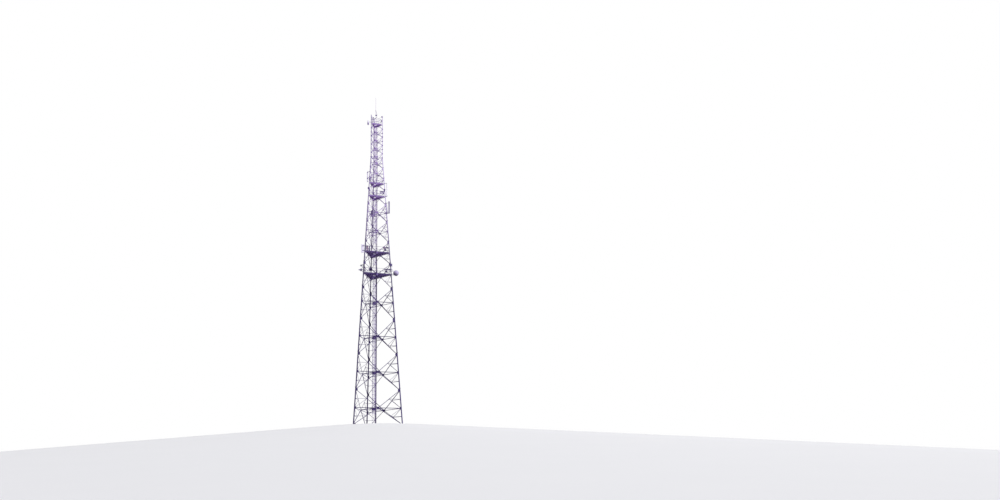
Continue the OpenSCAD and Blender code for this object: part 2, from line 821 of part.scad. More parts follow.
top_drum_xy = leg_xy(0, top_height) + 310 * left_way;
module top_drum() {
  z = top_height + 180;
  p = leg_xy(0, z);
  color(steel) {
    translate([p[0], p[1], z - clamp_h / 2])
      difference() {
        cylinder(r = part_leg_r[3] + clamp_t, h = clamp_h, $fn = 32);
        translate([0, 0, -1])
          cylinder(r = part_leg_r[3] + seat, h = clamp_h + 2, $fn = 32);
      }
    leg_arm(0, z, top_drum_xy);
  }
  color(antenna_color)
    translate([top_drum_xy[0], top_drum_xy[1], z - 270])
      cylinder(r = 78, h = 400, $fn = 48);
}

taper_leg(0);  // leg_front_left
taper_leg(1);  // leg_front_right
taper_leg(2);  // leg_rear
top_leg(0);  // top_leg_front_left
top_leg(1);  // top_leg_front_right
top_leg(2);  // top_leg_rear
taper_bracing(lower_part, 0);  // front_bracing_lower
taper_bracing(lower_part, 1);  // right_bracing_lower
taper_bracing(lower_part, 2);  // left_bracing_lower
taper_bracing(middle_part, 0);  // front_bracing_middle
taper_bracing(middle_part, 1);  // right_bracing_middle
taper_bracing(middle_part, 2);  // left_bracing_middle
taper_bracing(upper_part, 0);  // front_bracing_upper
taper_bracing(upper_part, 1);  // right_bracing_upper
taper_bracing(upper_part, 2);  // left_bracing_upper
top_bracing(0);  // front_bracing_top
top_bracing(1);  // right_bracing_top
top_bracing(2);  // left_bracing_top
plan_bracing_lower();
plan_bracing_upper();
deck(0, true);  // first_platform
deck(1, true);  // second_platform
deck(2, true);  // third_platform
deck(3, true);  // fourth_platform
deck(4, false);  // top_platform
railing(0);  // first_railing
railing(1);  // second_railing
railing(2);  // third_railing
railing(3);  // fourth_railing
railing(4);  // top_railing
ladder_run(ladder_cuts[0], ladder_cuts[1] - seat);  // ladder_lower
ladder_run(ladder_cuts[1], ladder_cuts[2] - seat);  // ladder_middle
ladder_run(ladder_cuts[2], ladder_cuts[3]);  // ladder_upper
ladder_cage();
cable_tray();
feeder_cables();
drum_antenna();
drum_mount();
small_dishes();
tube_antenna();
left_panel_antenna();
narrow_panel(0, upper_left_z, panel_len * 0.82, upper_left_arms, upper_left_xy, -35);  // upper_left_panel_antenna
narrow_panel(1, side_panel_z, panel_len, side_panel_arms, side_panel_xy, -20);  // side_panel_antenna
narrow_panel(1, high_panel_z, panel_len, high_panel_arms, high_panel_xy, 40);  // high_panel_antenna
rear_panel_antenna();
equipment_boxes();
top_drum();
lightning_rod();
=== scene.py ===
import math
from itertools import product
import bpy
from mathutils import Matrix, Vector


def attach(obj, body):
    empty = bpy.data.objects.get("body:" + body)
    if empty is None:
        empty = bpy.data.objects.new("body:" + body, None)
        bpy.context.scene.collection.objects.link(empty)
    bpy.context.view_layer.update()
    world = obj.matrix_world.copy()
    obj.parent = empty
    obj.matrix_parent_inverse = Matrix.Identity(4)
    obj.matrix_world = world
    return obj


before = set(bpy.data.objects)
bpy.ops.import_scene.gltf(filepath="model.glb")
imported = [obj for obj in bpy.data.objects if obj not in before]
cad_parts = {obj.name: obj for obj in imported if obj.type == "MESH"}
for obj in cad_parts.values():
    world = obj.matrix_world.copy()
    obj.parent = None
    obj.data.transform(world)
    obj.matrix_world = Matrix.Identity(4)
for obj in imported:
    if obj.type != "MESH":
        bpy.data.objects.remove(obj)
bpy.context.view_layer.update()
print("stage: frame loaded,", len(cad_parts), "nodes")

mm = 0.001

# Sizes of the mast in millimetres, as in the part's source
mast = {
    "baseSide": 4600, "topSide": 1165, "taperHeight": 26500, "topStart": 40, "topPanel": 875,
    "levels": [1675, 5000, 8350, 11675, 14400, 16575, 18800, 20700, 22350, 23700, 24800, 25900],
    "legRadius": [55, 47, 39, 31], "angleWidth": [50, 42, 34, 26], "angleThick": 5, "legRise": 975,
    "gussetThick": 8, "thinGusset": 6.4, "levelGusset": 1.1, "nodeGusset": 2.8, "spliceThick": 24,
    "deckHeight": 50, "deckThick": 6, "deckBottom": 20.3, "seat": 0.3, "railHeight": 550, "railRadius": 12,
}
baseSide, topSide, taperHeight = mast["baseSide"], mast["topSide"], mast["taperHeight"]
levels, legRadius, angleWidth = mast["levels"], mast["legRadius"], mast["angleWidth"]
topLevels = [taperHeight + mast["topStart"] + i * mast["topPanel"] for i in range(5)]
topHeight = topLevels[-1]
legTop = topHeight + mast["legRise"]
platformLevels = [levels[4], levels[5], levels[8], levels[9], topHeight]
gussetFace, thinFace, angleThick = mast["gussetThick"] / 2, mast["thinGusset"] / 2, mast["angleThick"]


def innerRadius(side):
    return side / (2 * math.sqrt(3))


axisX, axisY = baseSide / 2, innerRadius(baseSide)
tilt = math.atan((axisY - innerRadius(topSide)) / taperHeight)
slope = math.cos(tilt)
leanGap = (baseSide - topSide) / 2
leanWay = Vector((leanGap, leanGap / math.sqrt(3), taperHeight))


def sideAt(z):
    return baseSide - (baseSide - topSide) * z / taperHeight if z < taperHeight else topSide


def partOf(i):
    return 0 if i < 4 else 1 if i < 8 else 2


def midHeight(i):
    return (levels[i] + levels[i + 1]) / 2


def spliceAt(i):
    return midHeight(i) + (mast["nodeGusset"] + 1) * angleWidth[partOf(i)]


def radiusAt(z):
    return legRadius[0 if z < spliceAt(3) else 1 if z < spliceAt(7) else 2 if z < taperHeight else 3]


def floorAt(platform):
    return platformLevels[platform] + mast["deckBottom"] + mast["deckHeight"] + mast["seat"]


# Places: matrices from a piece's own millimetres to the mast's
def move(x, y, z):
    return Matrix.Translation((x, y, z))


def over(spot, z):
    return move(spot.x, spot.y, z)


def turn(degrees, axis="Z"):
    return Matrix.Rotation(math.radians(degrees), 4, axis)


def towards(way):
    return Matrix.Rotation(math.atan2(way[1], way[0]), 4, "Z")


def turned(k):
    return move(axisX, axisY, 0) @ turn(120 * k) @ move(-axisX, -axisY, 0)


def taperFace(k):
    return turned(k) @ turn(90 - math.degrees(tilt), "X")


def topFace(k):
    return turned(k) @ move((baseSide - topSide) / 2, axisY - innerRadius(topSide), 0) @ turn(90, "X")


def alongLeg(k, z):
    p = leanWay * (min(z, taperHeight) / taperHeight)
    if z >= taperHeight:
        return turned(k) @ move(p.x, p.y, z)
    return turned(k) @ move(*p) @ leanWay.to_track_quat("Z", "X").to_matrix().to_4x4()


def outward(k):
    angle = math.radians(210 + 120 * k)
    return Vector((math.cos(angle), math.sin(angle)))


def legXY(k, z):
    return Vector((axisX, axisY)) + 2 * innerRadius(sideAt(z)) * outward(k)


# Point of a face's plane at a height, on its left or right leg or in the middle
def onFace(z, where):
    left = (baseSide - sideAt(z)) / 2
    return Vector(({"left": left, "right": baseSide - left, "mid": baseSide / 2}[where], z / slope))


# Shapes: each is a list of points and a list of faces
def extrude(outline, length):
    n = len(outline)
    points = [(x, y, z) for z in (0, length) for x, y in outline]
    faces = [list(range(n))[::-1], list(range(n, 2 * n))]
    faces += [[i, (i + 1) % n, (i + 1) % n + n, i + n] for i in range(n)]
    return points, faces


def rectangle(x, y):
    return [(-x / 2, -y / 2), (x / 2, -y / 2), (x / 2, y / 2), (-x / 2, y / 2)]


def block(x, y, z):
    return extrude(rectangle(x, y), z)


def lathe(rings, sides):
    steps = [2 * math.pi * i / sides for i in range(sides)]
    points = [(r * math.cos(a), r * math.sin(a), z) for r, z in rings for a in steps]
    faces = [list(range(sides))[::-1], list(range(len(points) - sides, len(points)))]
    for j in range(len(rings) - 1):
        for i in range(sides):
            a, b = j * sides + i, j * sides + (i + 1) % sides
            faces.append([a, b, b + sides, a + sides])
    return points, faces


def pin(radius, low, high, sides):
    return lathe([(radius, low), (radius, high)], sides)


# Ring with the given section, a closed list of radius and height
def turnedBand(section, sides):
    points, faces = lathe(section, sides)
    last = (len(section) - 1) * sides
    faces = faces[2:] + [[last + i, last + (i + 1) % sides, (i + 1) % sides, i] for i in range(sides)]
    return points, faces


def ringBand(inner, outer, height, sides):
    return turnedBand([(inner, 0), (outer, 0), (outer, height), (inner, height)], sides)


# Ring left open at its back: inner radius, thickness, half angle in degrees and height
def openBand(inner, thick, half, height):
    steps = [math.radians(half * (i / 8 - 1)) for i in range(17)]
    outline = [((inner + thick) * math.cos(a), (inner + thick) * math.sin(a)) for a in steps]
    outline += [(inner * math.cos(a), inner * math.sin(a)) for a in steps[::-1]]
    return extrude(outline, height)


# Round bar along a path
def sweep(path, radius, sides):
    points, faces = [], []
    for i, p in enumerate(path):
        way = (Vector(path[min(i + 1, len(path) - 1)]) - Vector(path[max(i - 1, 0)])).normalized()
        side = way.cross(Vector((0.13, 0.29, 0.95))).normalized()  # no bar here runs along this vector
        up = side.cross(way)
        for j in range(sides):
            a = 2 * math.pi * j / sides
            points.append(Vector(p) + radius * (math.cos(a) * side + math.sin(a) * up))
    for i in range(len(path) - 1):
        for j in range(sides):
            a, b = i * sides + j, i * sides + (j + 1) % sides
            faces.append([a, a + sides, b + sides, b])
    faces += [list(range(sides)), list(range(len(points) - sides, len(points)))[::-1]]
    return points, faces


def joined(*shapes):
    points, faces = [], []
    for p, f in shapes:
        faces += [[i + len(points) for i in face] for face in f]
        points += p
    return points, faces


# Gathers shapes and makes one piece of them; where x, y or z is a list, the shape goes to each of its values
class Builder:
    def __init__(self):
        self.points, self.faces = [], []

    def add(self, shape, place=Matrix(), x=0, y=0, z=0, way=Matrix()):
        for spot in product(*(v if isinstance(v, (list, tuple)) else [v] for v in (x, y, z))):
            start, matrix = len(self.points), place @ move(*spot) @ way
            self.points += [matrix @ Vector(p) for p in shape[0]]
            self.faces += [[i + start for i in face] for face in shape[1]]

    def piece(self, name, finish):
        mesh = bpy.data.meshes.new(name)
        mesh.from_pydata([p * mm for p in self.points], [], self.faces)
        mesh.polygons.foreach_set("use_smooth", [True] * len(mesh.polygons))
        mesh.set_sharp_from_angle(angle=math.radians(38))
        mesh.materials.append(materials[finish])
        mesh.validate()
        piece = bpy.data.objects.new(name, mesh)
        bpy.context.scene.collection.objects.link(piece)
        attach(piece, "root")


print("stage: camera, light and floor")
camera = {
    "place": (-21.44, -85.29, -9.20), "heading": (0.3915, 0.9202), "pitch": 16.18, "roll": -1.835,
    "lens": 34.506, "sensor": 36.0, "near": 0.5, "far": 600,
}
# Each sun: its strength, where it comes from and its softness in degrees
light = {
    "ambient": 0.26,
    "suns": {"keySun": (2.9, (0.42, -0.66, 0.62), 20), "fillSun": (0.8, (0.7, 0.65, 0.3), 60),
             "frontSun": (0.6, (-0.35, -0.92, 0.12), 60)},
}
# The floor is a mound, level round the feet, since the camera stands below them
floor = {
    "flatRadius": 3.2, "ease": 1.2, "fall": 0.125, "drop": 0.001, "sides": 96,
    "radii": [1.6, 3.2, 4.4, 7, 12, 22, 40, 64, 96.0],
    "color": (226, 226, 230), "bounceColor": (206, 200, 216), "cloudColor": (214, 214, 220),
}


def makeCamera():
    pitch, roll = math.radians(camera["pitch"]), math.radians(camera["roll"])
    hx, hy = camera["heading"]
    right = Vector((hy, -hx, 0)).normalized()
    forward = Vector((hx * math.cos(pitch), hy * math.cos(pitch), math.sin(pitch))).normalized()
    up = right.cross(forward)
    x = math.cos(roll) * right + math.sin(roll) * up
    y = math.cos(roll) * up - math.sin(roll) * right
    data = bpy.data.cameras.new("camera")
    data.lens, data.sensor_width = camera["lens"], camera["sensor"]
    data.clip_start, data.clip_end = camera["near"], camera["far"]
    obj = bpy.data.objects.new("camera", data)
    bpy.context.scene.collection.objects.link(obj)
    place = Matrix((x, y, -forward)).transposed().to_4x4()
    place.translation = camera["place"]
    obj.matrix_world = place
    bpy.context.scene.camera = obj


def makeSun(name, strength, comesFrom, softness):
    data = bpy.data.lights.new(name, "SUN")
    data.energy, data.angle = strength, math.radians(softness)
    obj = bpy.data.objects.new(name, data)
    obj.rotation_mode = "QUATERNION"
    obj.rotation_quaternion = Vector(comesFrom).to_track_quat("Z", "Y")
    bpy.context.scene.collection.objects.link(obj)


makeCamera()
for name, settings in light["suns"].items():
    makeSun(name, *settings)
bpy.context.scene.view_settings.view_transform = "Standard"


def linear(color):
    return (*[c / 255 / 12.92 if c <= 10 else ((c / 255 + 0.055) / 1.055) ** 2.4 for c in color], 1.0)


# Shader trees: a short way to make nodes and link them
class Tree:
    def __init__(self, tree):
        self.tree = tree

    def feed(self, sockets, values):
        for key, value in values.items():
            if isinstance(value, bpy.types.NodeSocket):
                self.tree.links.new(value, sockets[key])
            else:
                sockets[key].default_value = value

    def node(self, kind, inputs=None, **settings):
        made = self.tree.nodes.new("ShaderNode" + kind)
        for key, value in settings.items():
            setattr(made, key, value)
        self.feed(made.inputs, inputs or {})
        return made

    def group(self, name, inputs):
        return self.node("Group", inputs, node_tree=groups[name]).outputs

    def math(self, operation, a, b=0.0, clamp=False):
        return self.node("Math", {0: a, 1: b}, operation=operation, use_clamp=clamp).outputs[0]

    def plus(self, a, b, clamp=False):
        return self.math("ADD", a, b, clamp)

    def times(self, a, b, clamp=False):
        return self.math("MULTIPLY", a, b, clamp)

    def mix(self, factor, a, b):
        return self.node("Mix", {0: factor, 6: a, 7: b}, data_type="RGBA").outputs[2]

    def between(self, value, low, high, toLow=0.0, toHigh=1.0):
        inputs = {0: value, 1: low, 2: high, 3: toLow, 4: toHigh}
        return self.node("MapRange", inputs, interpolation_type="SMOOTHSTEP").outputs[0]

    def noise(self, scale, detail=3.0, stretch=(1, 1, 1), rough=0.55):
        place = self.node("TexCoord").outputs["Object"]
        mapped = self.node("Mapping", {"Vector": place, "Scale": stretch}).outputs[0]
        inputs = {"Vector": mapped, "Scale": scale, "Detail": detail, "Roughness": rough}
        return self.node("TexNoise", inputs).outputs[0]

    def bump(self, height, strength, distance, **more):
        inputs = {"Height": height, "Strength": strength, "Distance": distance, **more}
        return self.node("Bump", inputs).outputs[0]

    def place(self):
        return self.node("SeparateXYZ", {0: self.node("TexCoord").outputs["Object"]}).outputs

    def facingUp(self, low, high):
        normal = self.node("SeparateXYZ", {0: self.node("NewGeometry").outputs["Normal"]})
        return self.between(normal.outputs["Z"], low, high)


print("stage: shader groups")
bleachHeights = (14.0, 24.0)  # metres between which sun and wind bleach the paint
# Noise scales: of the paint's patches, speckle, drips and pits, of rust spots and their shades, and so on
grain = {"patches": 0.9, "speckle": 65, "drips": 14, "pits": 420, "spots": 9.0, "rustShades": 120,
         "chips": 38, "dust": 7, "shadePatches": 5, "floor": 0.4}


# Makes a group with named inputs; fill adds its nodes and gives its outputs
def makeGroup(name, inputs, fill):
    group = bpy.data.node_groups.new(name, "ShaderNodeTree")
    for key, value in inputs.items():
        kind = "NodeSocketColor" if isinstance(value, tuple) else "NodeSocketFloat"
        group.interface.new_socket(name=key, in_out="INPUT", socket_type=kind).default_value = value
    tree = Tree(group)
    results = fill(tree, group.nodes.new("NodeGroupInput").outputs)
    for key in results:
        kind = "NodeSocketColor" if key == "Color" else "NodeSocketFloat"
        group.interface.new_socket(name=key, in_out="OUTPUT", socket_type=kind)
    tree.feed(group.nodes.new("NodeGroupOutput").inputs, results)
    return group


# Paint that has faded unevenly: broad patches, streaks down the steel and a fine speckle
def fillPaint(tree, start):
    patches = tree.between(tree.noise(grain["patches"], 4), 0.36, 0.66)
    speckle = tree.noise(grain["speckle"])
    worn = tree.plus(tree.times(patches, 0.75), tree.times(speckle, 0.35))
    color = tree.mix(tree.times(worn, start["Fading"], True), start["Paint"], start["Faded"])
    drips = tree.between(tree.noise(grain["drips"], 4, (1, 1, 0.06), 0.65), 0.5, 0.72)
    streaks = tree.times(drips, start["Streaks"], True)
    color = tree.mix(streaks, color, start["Streak"])
    rise = tree.between(tree.place()["Z"], start["Bleach From"], start["Bleach To"])
    color = tree.mix(tree.times(rise, start["Bleach"], True), color, start["Bleached"])
    rough = tree.plus(start["Roughness"], tree.times(tree.math("SUBTRACT", speckle, 0.5), 0.35))
    return {"Color": color, "Roughness": tree.plus(rough, tree.times(streaks, 0.2), True),
            "Height": tree.plus(tree.times(speckle, 0.5), tree.noise(grain["pits"], 2))}


# Rust that blooms in spots
def fillRust(tree, start):
    spots = tree.noise(start["Spot Scale"], 6, rough=0.7)
    edge = tree.math("SUBTRACT", 0.78, tree.times(start["Amount"], 0.3))
    mask = tree.between(spots, edge, tree.plus(edge, 0.09))
    rust = tree.mix(tree.noise(grain["rustShades"]), start["Rust"], (0.09, 0.035, 0.02, 1))
    return {"Color": tree.mix(mask, start["Surface"], rust), "Mask": mask}


# Bare metal along edges, where the paint is knocked off
def fillWear(tree, start):
    soft = tree.node("Bevel", {"Radius": 0.003}, samples=4).outputs[0]
    flat = tree.node("NewGeometry").outputs["Normal"]
    same = tree.node("VectorMath", {0: soft, 1: flat}, operation="DOT_PRODUCT").outputs["Value"]
    edge = tree.between(same, 0.985, 0.86)
    chips = tree.between(tree.noise(grain["chips"], 4), 0.42, 0.6)
    mask = tree.times(tree.times(edge, chips), start["Amount"], True)
    return {"Color": tree.mix(mask, start["Surface"], start["Bare"]), "Mask": mask}


# Dust and lichen that settle on faces that look up
def fillDust(tree, start):
    cover = tree.between(tree.noise(grain["dust"], 5, rough=0.65), 0.34, 0.68)
    mask = tree.times(tree.times(tree.facingUp(0.35, 0.95), cover), start["Amount"], True)
    return {"Color": tree.mix(mask, start["Surface"], start["Dust"]), "Mask": mask}


plain = (0.2, 0.2, 0.2, 1)
groups = {
    "weatheredPaint": makeGroup("weatheredPaint", {
        "Paint": plain, "Faded": (0.3, 0.3, 0.3, 1), "Streak": (0.1, 0.1, 0.1, 1),
        "Bleached": (0.5, 0.5, 0.6, 1), "Fading": 0.5, "Streaks": 0.4, "Bleach": 0.5, "Roughness": 0.5,
        "Bleach From": bleachHeights[0], "Bleach To": bleachHeights[1]}, fillPaint),
    "rustBloom": makeGroup("rustBloom", {
        "Surface": plain, "Rust": (0.2, 0.08, 0.04, 1), "Amount": 0.3,
        "Spot Scale": grain["spots"]}, fillRust),
    "edgeWear": makeGroup("edgeWear", {
        "Surface": plain, "Bare": (0.4, 0.4, 0.45, 1), "Amount": 0.5}, fillWear),
    "settledDust": makeGroup("settledDust", {
        "Surface": plain, "Dust": (0.4, 0.38, 0.36, 1), "Amount": 0.5}, fillDust),
}


print("stage: materials")
# Colours from 0 to 255: fresh, faded, streaks, bleached and bare metal; what a finish doesn't give is as here
steelBase = {"fading": 0.7, "streaks": 0.4, "rust": 0.3, "wear": 0.5, "dust": 0.3, "rough": 0.55,
             "metal": 0.05, "bump": 0.15, "heights": bleachHeights}
finishes = {
    "legSteel": {"colors": [(45, 34, 79), (57, 44, 97), (29, 21, 51), (150, 132, 184), (130, 118, 158)],
                 "bleach": 0.68, "streaks": 0.5, "wear": 0.55, "bump": 0.18},
    # Painted light: a paler copy of legSteel for the legs on the sun's side
    "sunlitLegSteel": {"colors": [(57, 45, 95), (75, 62, 119), (37, 27, 62), (200, 186, 226), (140, 130, 170)],
                      "bleach": 0.95, "fading": 0.75, "wear": 0.6, "bump": 0.18},
    "braceSteel": {"colors": [(56, 43, 94), (72, 58, 114), (37, 26, 62), (172, 150, 204), (146, 136, 180)],
                   "bleach": 0.88, "fading": 0.75, "streaks": 0.5, "rust": 0.35, "wear": 0.55, "dust": 0.35},
    "deckSteel": {"colors": [(86, 65, 121), (102, 82, 140), (56, 39, 86), (172, 132, 206), (136, 122, 162)],
                  "bleach": 0.85, "heights": (14.0, 27.0), "fading": 0.6, "streaks": 0.3, "rust": 0.4,
                  "dust": 0.6, "rough": 0.65, "metal": 0.0, "bump": 0.3},
    "galvanised": {"colors": [(98, 79, 140), (124, 104, 168), (66, 48, 102), (150, 112, 188),
                              (180, 168, 210)], "bleach": 0.65, "fading": 0.8, "streaks": 0.45, "rust": 0.2,
                   "wear": 0.4, "dust": 0.25, "rough": 0.48, "metal": 0.15, "bump": 0.12},
    "fineSteel": {"colors": [(98, 84, 132), (122, 106, 156), (70, 56, 98), (190, 170, 216), (150, 138, 182)],
                  "bleach": 0.88, "fading": 0.75, "dust": 0.35},
    # Painted light: a pale finish that lifts the shade on the right face's middle gussets
    "paintedLightSteel": {"colors": [(164, 146, 190), (184, 166, 208), (122, 102, 150), (180, 156, 206),
                            (204, 192, 222)], "bleach": 0.5, "rust": 0.2, "wear": 0.4, "dust": 0.25,
                 "rough": 0.5, "metal": 0.1, "bump": 0.12},
    "armSteel": {"colors": [(61, 50, 98), (78, 67, 120), (41, 31, 65), (98, 72, 142), (130, 120, 158)],
                 "bleach": 0.6, "rust": 0.4, "rough": 0.5, "metal": 0.1},
    "cabinetPaint": {"colors": [(140, 108, 141), (166, 136, 169), (89, 65, 91), (178, 146, 182),
                                (170, 160, 182)], "bleach": 0.0, "wear": 0.6, "dust": 0.4, "metal": 0.0,
                     "bump": 0.12},
    "boltSteel": {"colors": [(86, 74, 112), (115, 104, 141), (65, 46, 71), (150, 140, 180), (160, 150, 180)],
                  "bleach": 0.6, "fading": 0.6, "streaks": 0.5, "rust": 0.8, "wear": 0.6, "rough": 0.42,
                  "metal": 0.3, "bump": 0.1},
}
# Sun-bleached plastic of the antenna covers, with dirt that runs down from the rims
coverBase = {"bleach": 0.3, "fading": 0.8, "rough": 0.46, "heights": bleachHeights, "paintedShade": 0.0}
coverFinishes = {
    "paleCover": {"colors": [(236, 232, 248), (218, 212, 236), (150, 140, 172), (236, 232, 248)],
                  "streaks": 0.25},
    "greyCover": {"colors": [(150, 140, 176), (126, 116, 152), (90, 78, 114), (150, 140, 176)],
                  "streaks": 0.4},
    # The drum's cover also takes painted shade towards the drum's lower left
    "drumCover": {"colors": [(184, 174, 208), (156, 146, 182), (100, 88, 124), (184, 174, 208)],
                  "streaks": 0.35, "paintedShade": 0.85},
}
# Painted shade, darker towards the drum's lower left: the drum's middle, how far the shade leans, its start,
# depth and colour
paintedShade = {"middle": 4.07, "lean": 0.7, "top": 14.62, "depth": 0.34, "color": (52, 42, 76)}
# Black cable sheath with fine ribs round it, bleached grey in places
sheathFinish = {"colors": [(50, 40, 76), (80, 70, 106), (100, 90, 114), (134, 118, 160)], "bleach": 0.8,
                "fading": 0.8, "streaks": 0.35, "rough": 0.55, "heights": (14.0, 19.0), "ribs": 900.0}
tread = {"pitch": 95.0, "strength": 0.8, "depth": 0.003}
layers = {"rust": (118, 72, 60), "steelDust": (168, 160, 172), "coverDust": (150, 144, 156), "specular": 0.25}


def newMaterial(name):
    material = bpy.data.materials.new(name)
    material.use_nodes = True
    tree = Tree(material.node_tree)
    return material, tree, tree.tree.nodes["Principled BSDF"].inputs


def paintLayer(tree, finish):
    paint, faded, streak, bleached = map(linear, finish["colors"][:4])
    low, high = finish["heights"]
    return tree.group("weatheredPaint", {
        "Paint": paint, "Faded": faded, "Streak": streak, "Bleached": bleached, "Bleach": finish["bleach"],
        "Fading": finish["fading"], "Streaks": finish["streaks"], "Roughness": finish["rough"],
        "Bleach From": low, "Bleach To": high})


def metalMaterial(name, finish):
    material, tree, shader = newMaterial(name)
    paint = paintLayer(tree, finish)
    worn = tree.group("edgeWear", {"Surface": paint["Color"], "Bare": linear(finish["colors"][4]),
                                   "Amount": finish["wear"]})
    rust = tree.group("rustBloom", {"Surface": worn["Color"], "Rust": linear(layers["rust"]),
                                    "Amount": finish["rust"]})
    dust = tree.group("settledDust", {"Surface": rust["Color"], "Dust": linear(layers["steelDust"]),
                                      "Amount": finish["dust"]})
    rough = tree.plus(paint["Roughness"], tree.times(rust["Mask"], 0.3))
    rough = tree.plus(rough, tree.times(dust["Mask"], 0.3), True)
    relief = tree.plus(paint["Height"], tree.times(rust["Mask"], 0.8))
    tree.feed(shader, {"Base Color": dust["Color"], "Roughness": rough, "Metallic": finish["metal"],
                       "Normal": tree.bump(relief, finish["bump"], 0.002),
                       "Specular IOR Level": layers["specular"]})
    return material


def coverMaterial(name, finish):
    material, tree, shader = newMaterial(name)
    base = paintLayer(tree, finish)
    # Painted shade: darkens the cover towards the drum's lower left in noisy patches, as strongly as the
    # finish gives
    spot = tree.place()
    aside = tree.times(tree.math("SUBTRACT", spot["X"], paintedShade["middle"]), paintedShade["lean"])
    low = tree.between(tree.plus(spot["Z"], aside), paintedShade["top"], paintedShade["top"] - paintedShade["depth"])
    patchy = tree.times(low, tree.between(tree.noise(grain["shadePatches"], 4), 0.2, 0.55, 0.55, 1.0))
    shadedColor = tree.mix(tree.times(patchy, finish["paintedShade"]), base["Color"], linear(paintedShade["color"]))
    dust = tree.group("settledDust", {"Surface": shadedColor, "Dust": linear(layers["coverDust"]), "Amount": 0.5})
    tree.feed(shader, {"Base Color": dust["Color"], "Roughness": base["Roughness"],
                       "Normal": tree.bump(base["Height"], 0.12, 0.001),
                       "Specular IOR Level": layers["specular"]})
    return material


def sheathMaterial():
    material, tree, shader = newMaterial("cableSheath")
    base = paintLayer(tree, sheathFinish)
    ribs = tree.math("SINE", tree.times(tree.place()["Z"], sheathFinish["ribs"]))
    relief = tree.plus(tree.times(ribs, 0.3), base["Height"])
    tree.feed(shader, {"Base Color": base["Color"], "Roughness": base["Roughness"],
                       "Normal": tree.bump(relief, 0.25, 0.001)})
    return material


# Deck steel has a raised tread of small lozenges on the faces that look up
def treadMaterial():
    material = metalMaterial("deckTread", {**steelBase, **finishes["deckSteel"]})
    tree = Tree(material.node_tree)
    place = tree.place()
    waves = []
    for sign in (1, -1):
        along = tree.plus(place["X"], tree.times(place["Y"], sign))
        waves.append(tree.math("ABSOLUTE", tree.math("SINE", tree.times(along, tread["pitch"]))))
    lozenges = tree.times(tree.between(tree.times(*waves), 0.42, 0.62), tree.facingUp(0.8, 0.95))
    normal = tree.tree.nodes["Principled BSDF"].inputs["Normal"]
    below = normal.links[0].from_socket
    tree.tree.links.new(tree.bump(lozenges, tread["strength"], tread["depth"], Normal=below), normal)
    return material


materials = {name: metalMaterial(name, {**steelBase, **finish}) for name, finish in finishes.items()}
for name, finish in coverFinishes.items():
    materials[name] = coverMaterial(name, {**coverBase, **finish})
materials["cableSheath"] = sheathMaterial()
materials["deckTread"] = treadMaterial()


# The world is white to the camera and in reflections, and lights the mast plainly
def makeWorld():
    world = bpy.data.worlds.new("studio")
    bpy.context.scene.world = world
    world.use_nodes = True
    tree = Tree(world.node_tree)
    tree.tree.nodes.clear()
    path = tree.node("LightPath").outputs
    reflected = tree.math("MAXIMUM", path["Is Glossy Ray"], path["Is Transmission Ray"])
    seen = tree.math("MAXIMUM", path["Is Camera Ray"], reflected)
    lit, white = (tree.node("Background", {"Color": (1, 1, 1, 1), "Strength": strength}).outputs[0]
                  for strength in (light["ambient"], 1.0))
    mixed = tree.node("MixShader", {0: seen, 1: lit, 2: white}).outputs[0]
    tree.feed(tree.node("OutputWorld").inputs, {"Surface": mixed})


def makeFloor():
    sides, ease = floor["sides"], floor["ease"]
    points = [(axisX * mm, axisY * mm, -floor["drop"])]
    for r in floor["radii"]:
        beyond = max(0.0, r - floor["flatRadius"])
        z = -floor["fall"] * (beyond - ease * (1 - math.exp(-beyond / ease))) - floor["drop"]
        for i in range(sides):
            a = 2 * math.pi * i / sides
            points.append((axisX * mm + r * math.cos(a), axisY * mm + r * math.sin(a), z))
    faces = [[0, 1 + i, 1 + (i + 1) % sides] for i in range(sides)]
    for j in range(len(floor["radii"]) - 1):
        for i in range(sides):
            a, b = 1 + j * sides + i, 1 + j * sides + (i + 1) % sides
            faces.append([a, a + sides, b + sides, b])
    mesh = bpy.data.meshes.new("floor")
    mesh.from_pydata(points, [], faces)
    mesh.polygons.foreach_set("use_smooth", [True] * len(faces))
    material, tree, shader = newMaterial("floorPaint")
    cloud = tree.between(tree.noise(grain["floor"]), 0.3, 0.7, 0.0, 0.06)
    seen = tree.node("LightPath").outputs["Is Camera Ray"]
    even = tree.mix(seen, linear(floor["bounceColor"]), linear(floor["color"]))
    tree.feed(shader, {"Base Color": tree.mix(cloud, even, linear(floor["cloudColor"])), "Roughness": 0.9})
    mesh.materials.append(material)
    obj = bpy.data.objects.new("floor", mesh)
    bpy.context.scene.collection.objects.link(obj)


makeWorld()
makeFloor()


print("stage: materials of the CAD nodes")
# Finish of the nodes whose names start or end so; the others are pale covers. The finish for the front right
# leg and for the top legs other than the front left one is painted light: a paler copy of legSteel for the
# legs on the sun's side
nodeFinishes = {
    "leg_front_right": "sunlitLegSteel", "leg_": "legSteel", "top_leg_front_left": "legSteel",
    "top_leg_": "sunlitLegSteel", "front_bracing": "braceSteel", "right_bracing": "braceSteel",
    "left_bracing": "braceSteel", "plan_bracing": "braceSteel", "feeder_cables": "cableSheath",
    "lightning_rod": "galvanised", "drum_mount": "armSteel", "ladder_": "galvanised",
    "cable_tray": "galvanised", "equipment_boxes": "cabinetPaint", "drum_antenna": "drumCover",
    "side_panel": "greyCover", "rear_panel": "greyCover", "small_dishes": "drumCover",
    "_platform": "deckTread", "_railing": "legSteel",
}
for name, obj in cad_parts.items():
    finish = next((f for part, f in nodeFinishes.items() if name.startswith(part) or name.endswith(part)),
                  "paleCover")
    obj.data.materials.clear()
    obj.data.materials.append(materials[finish])


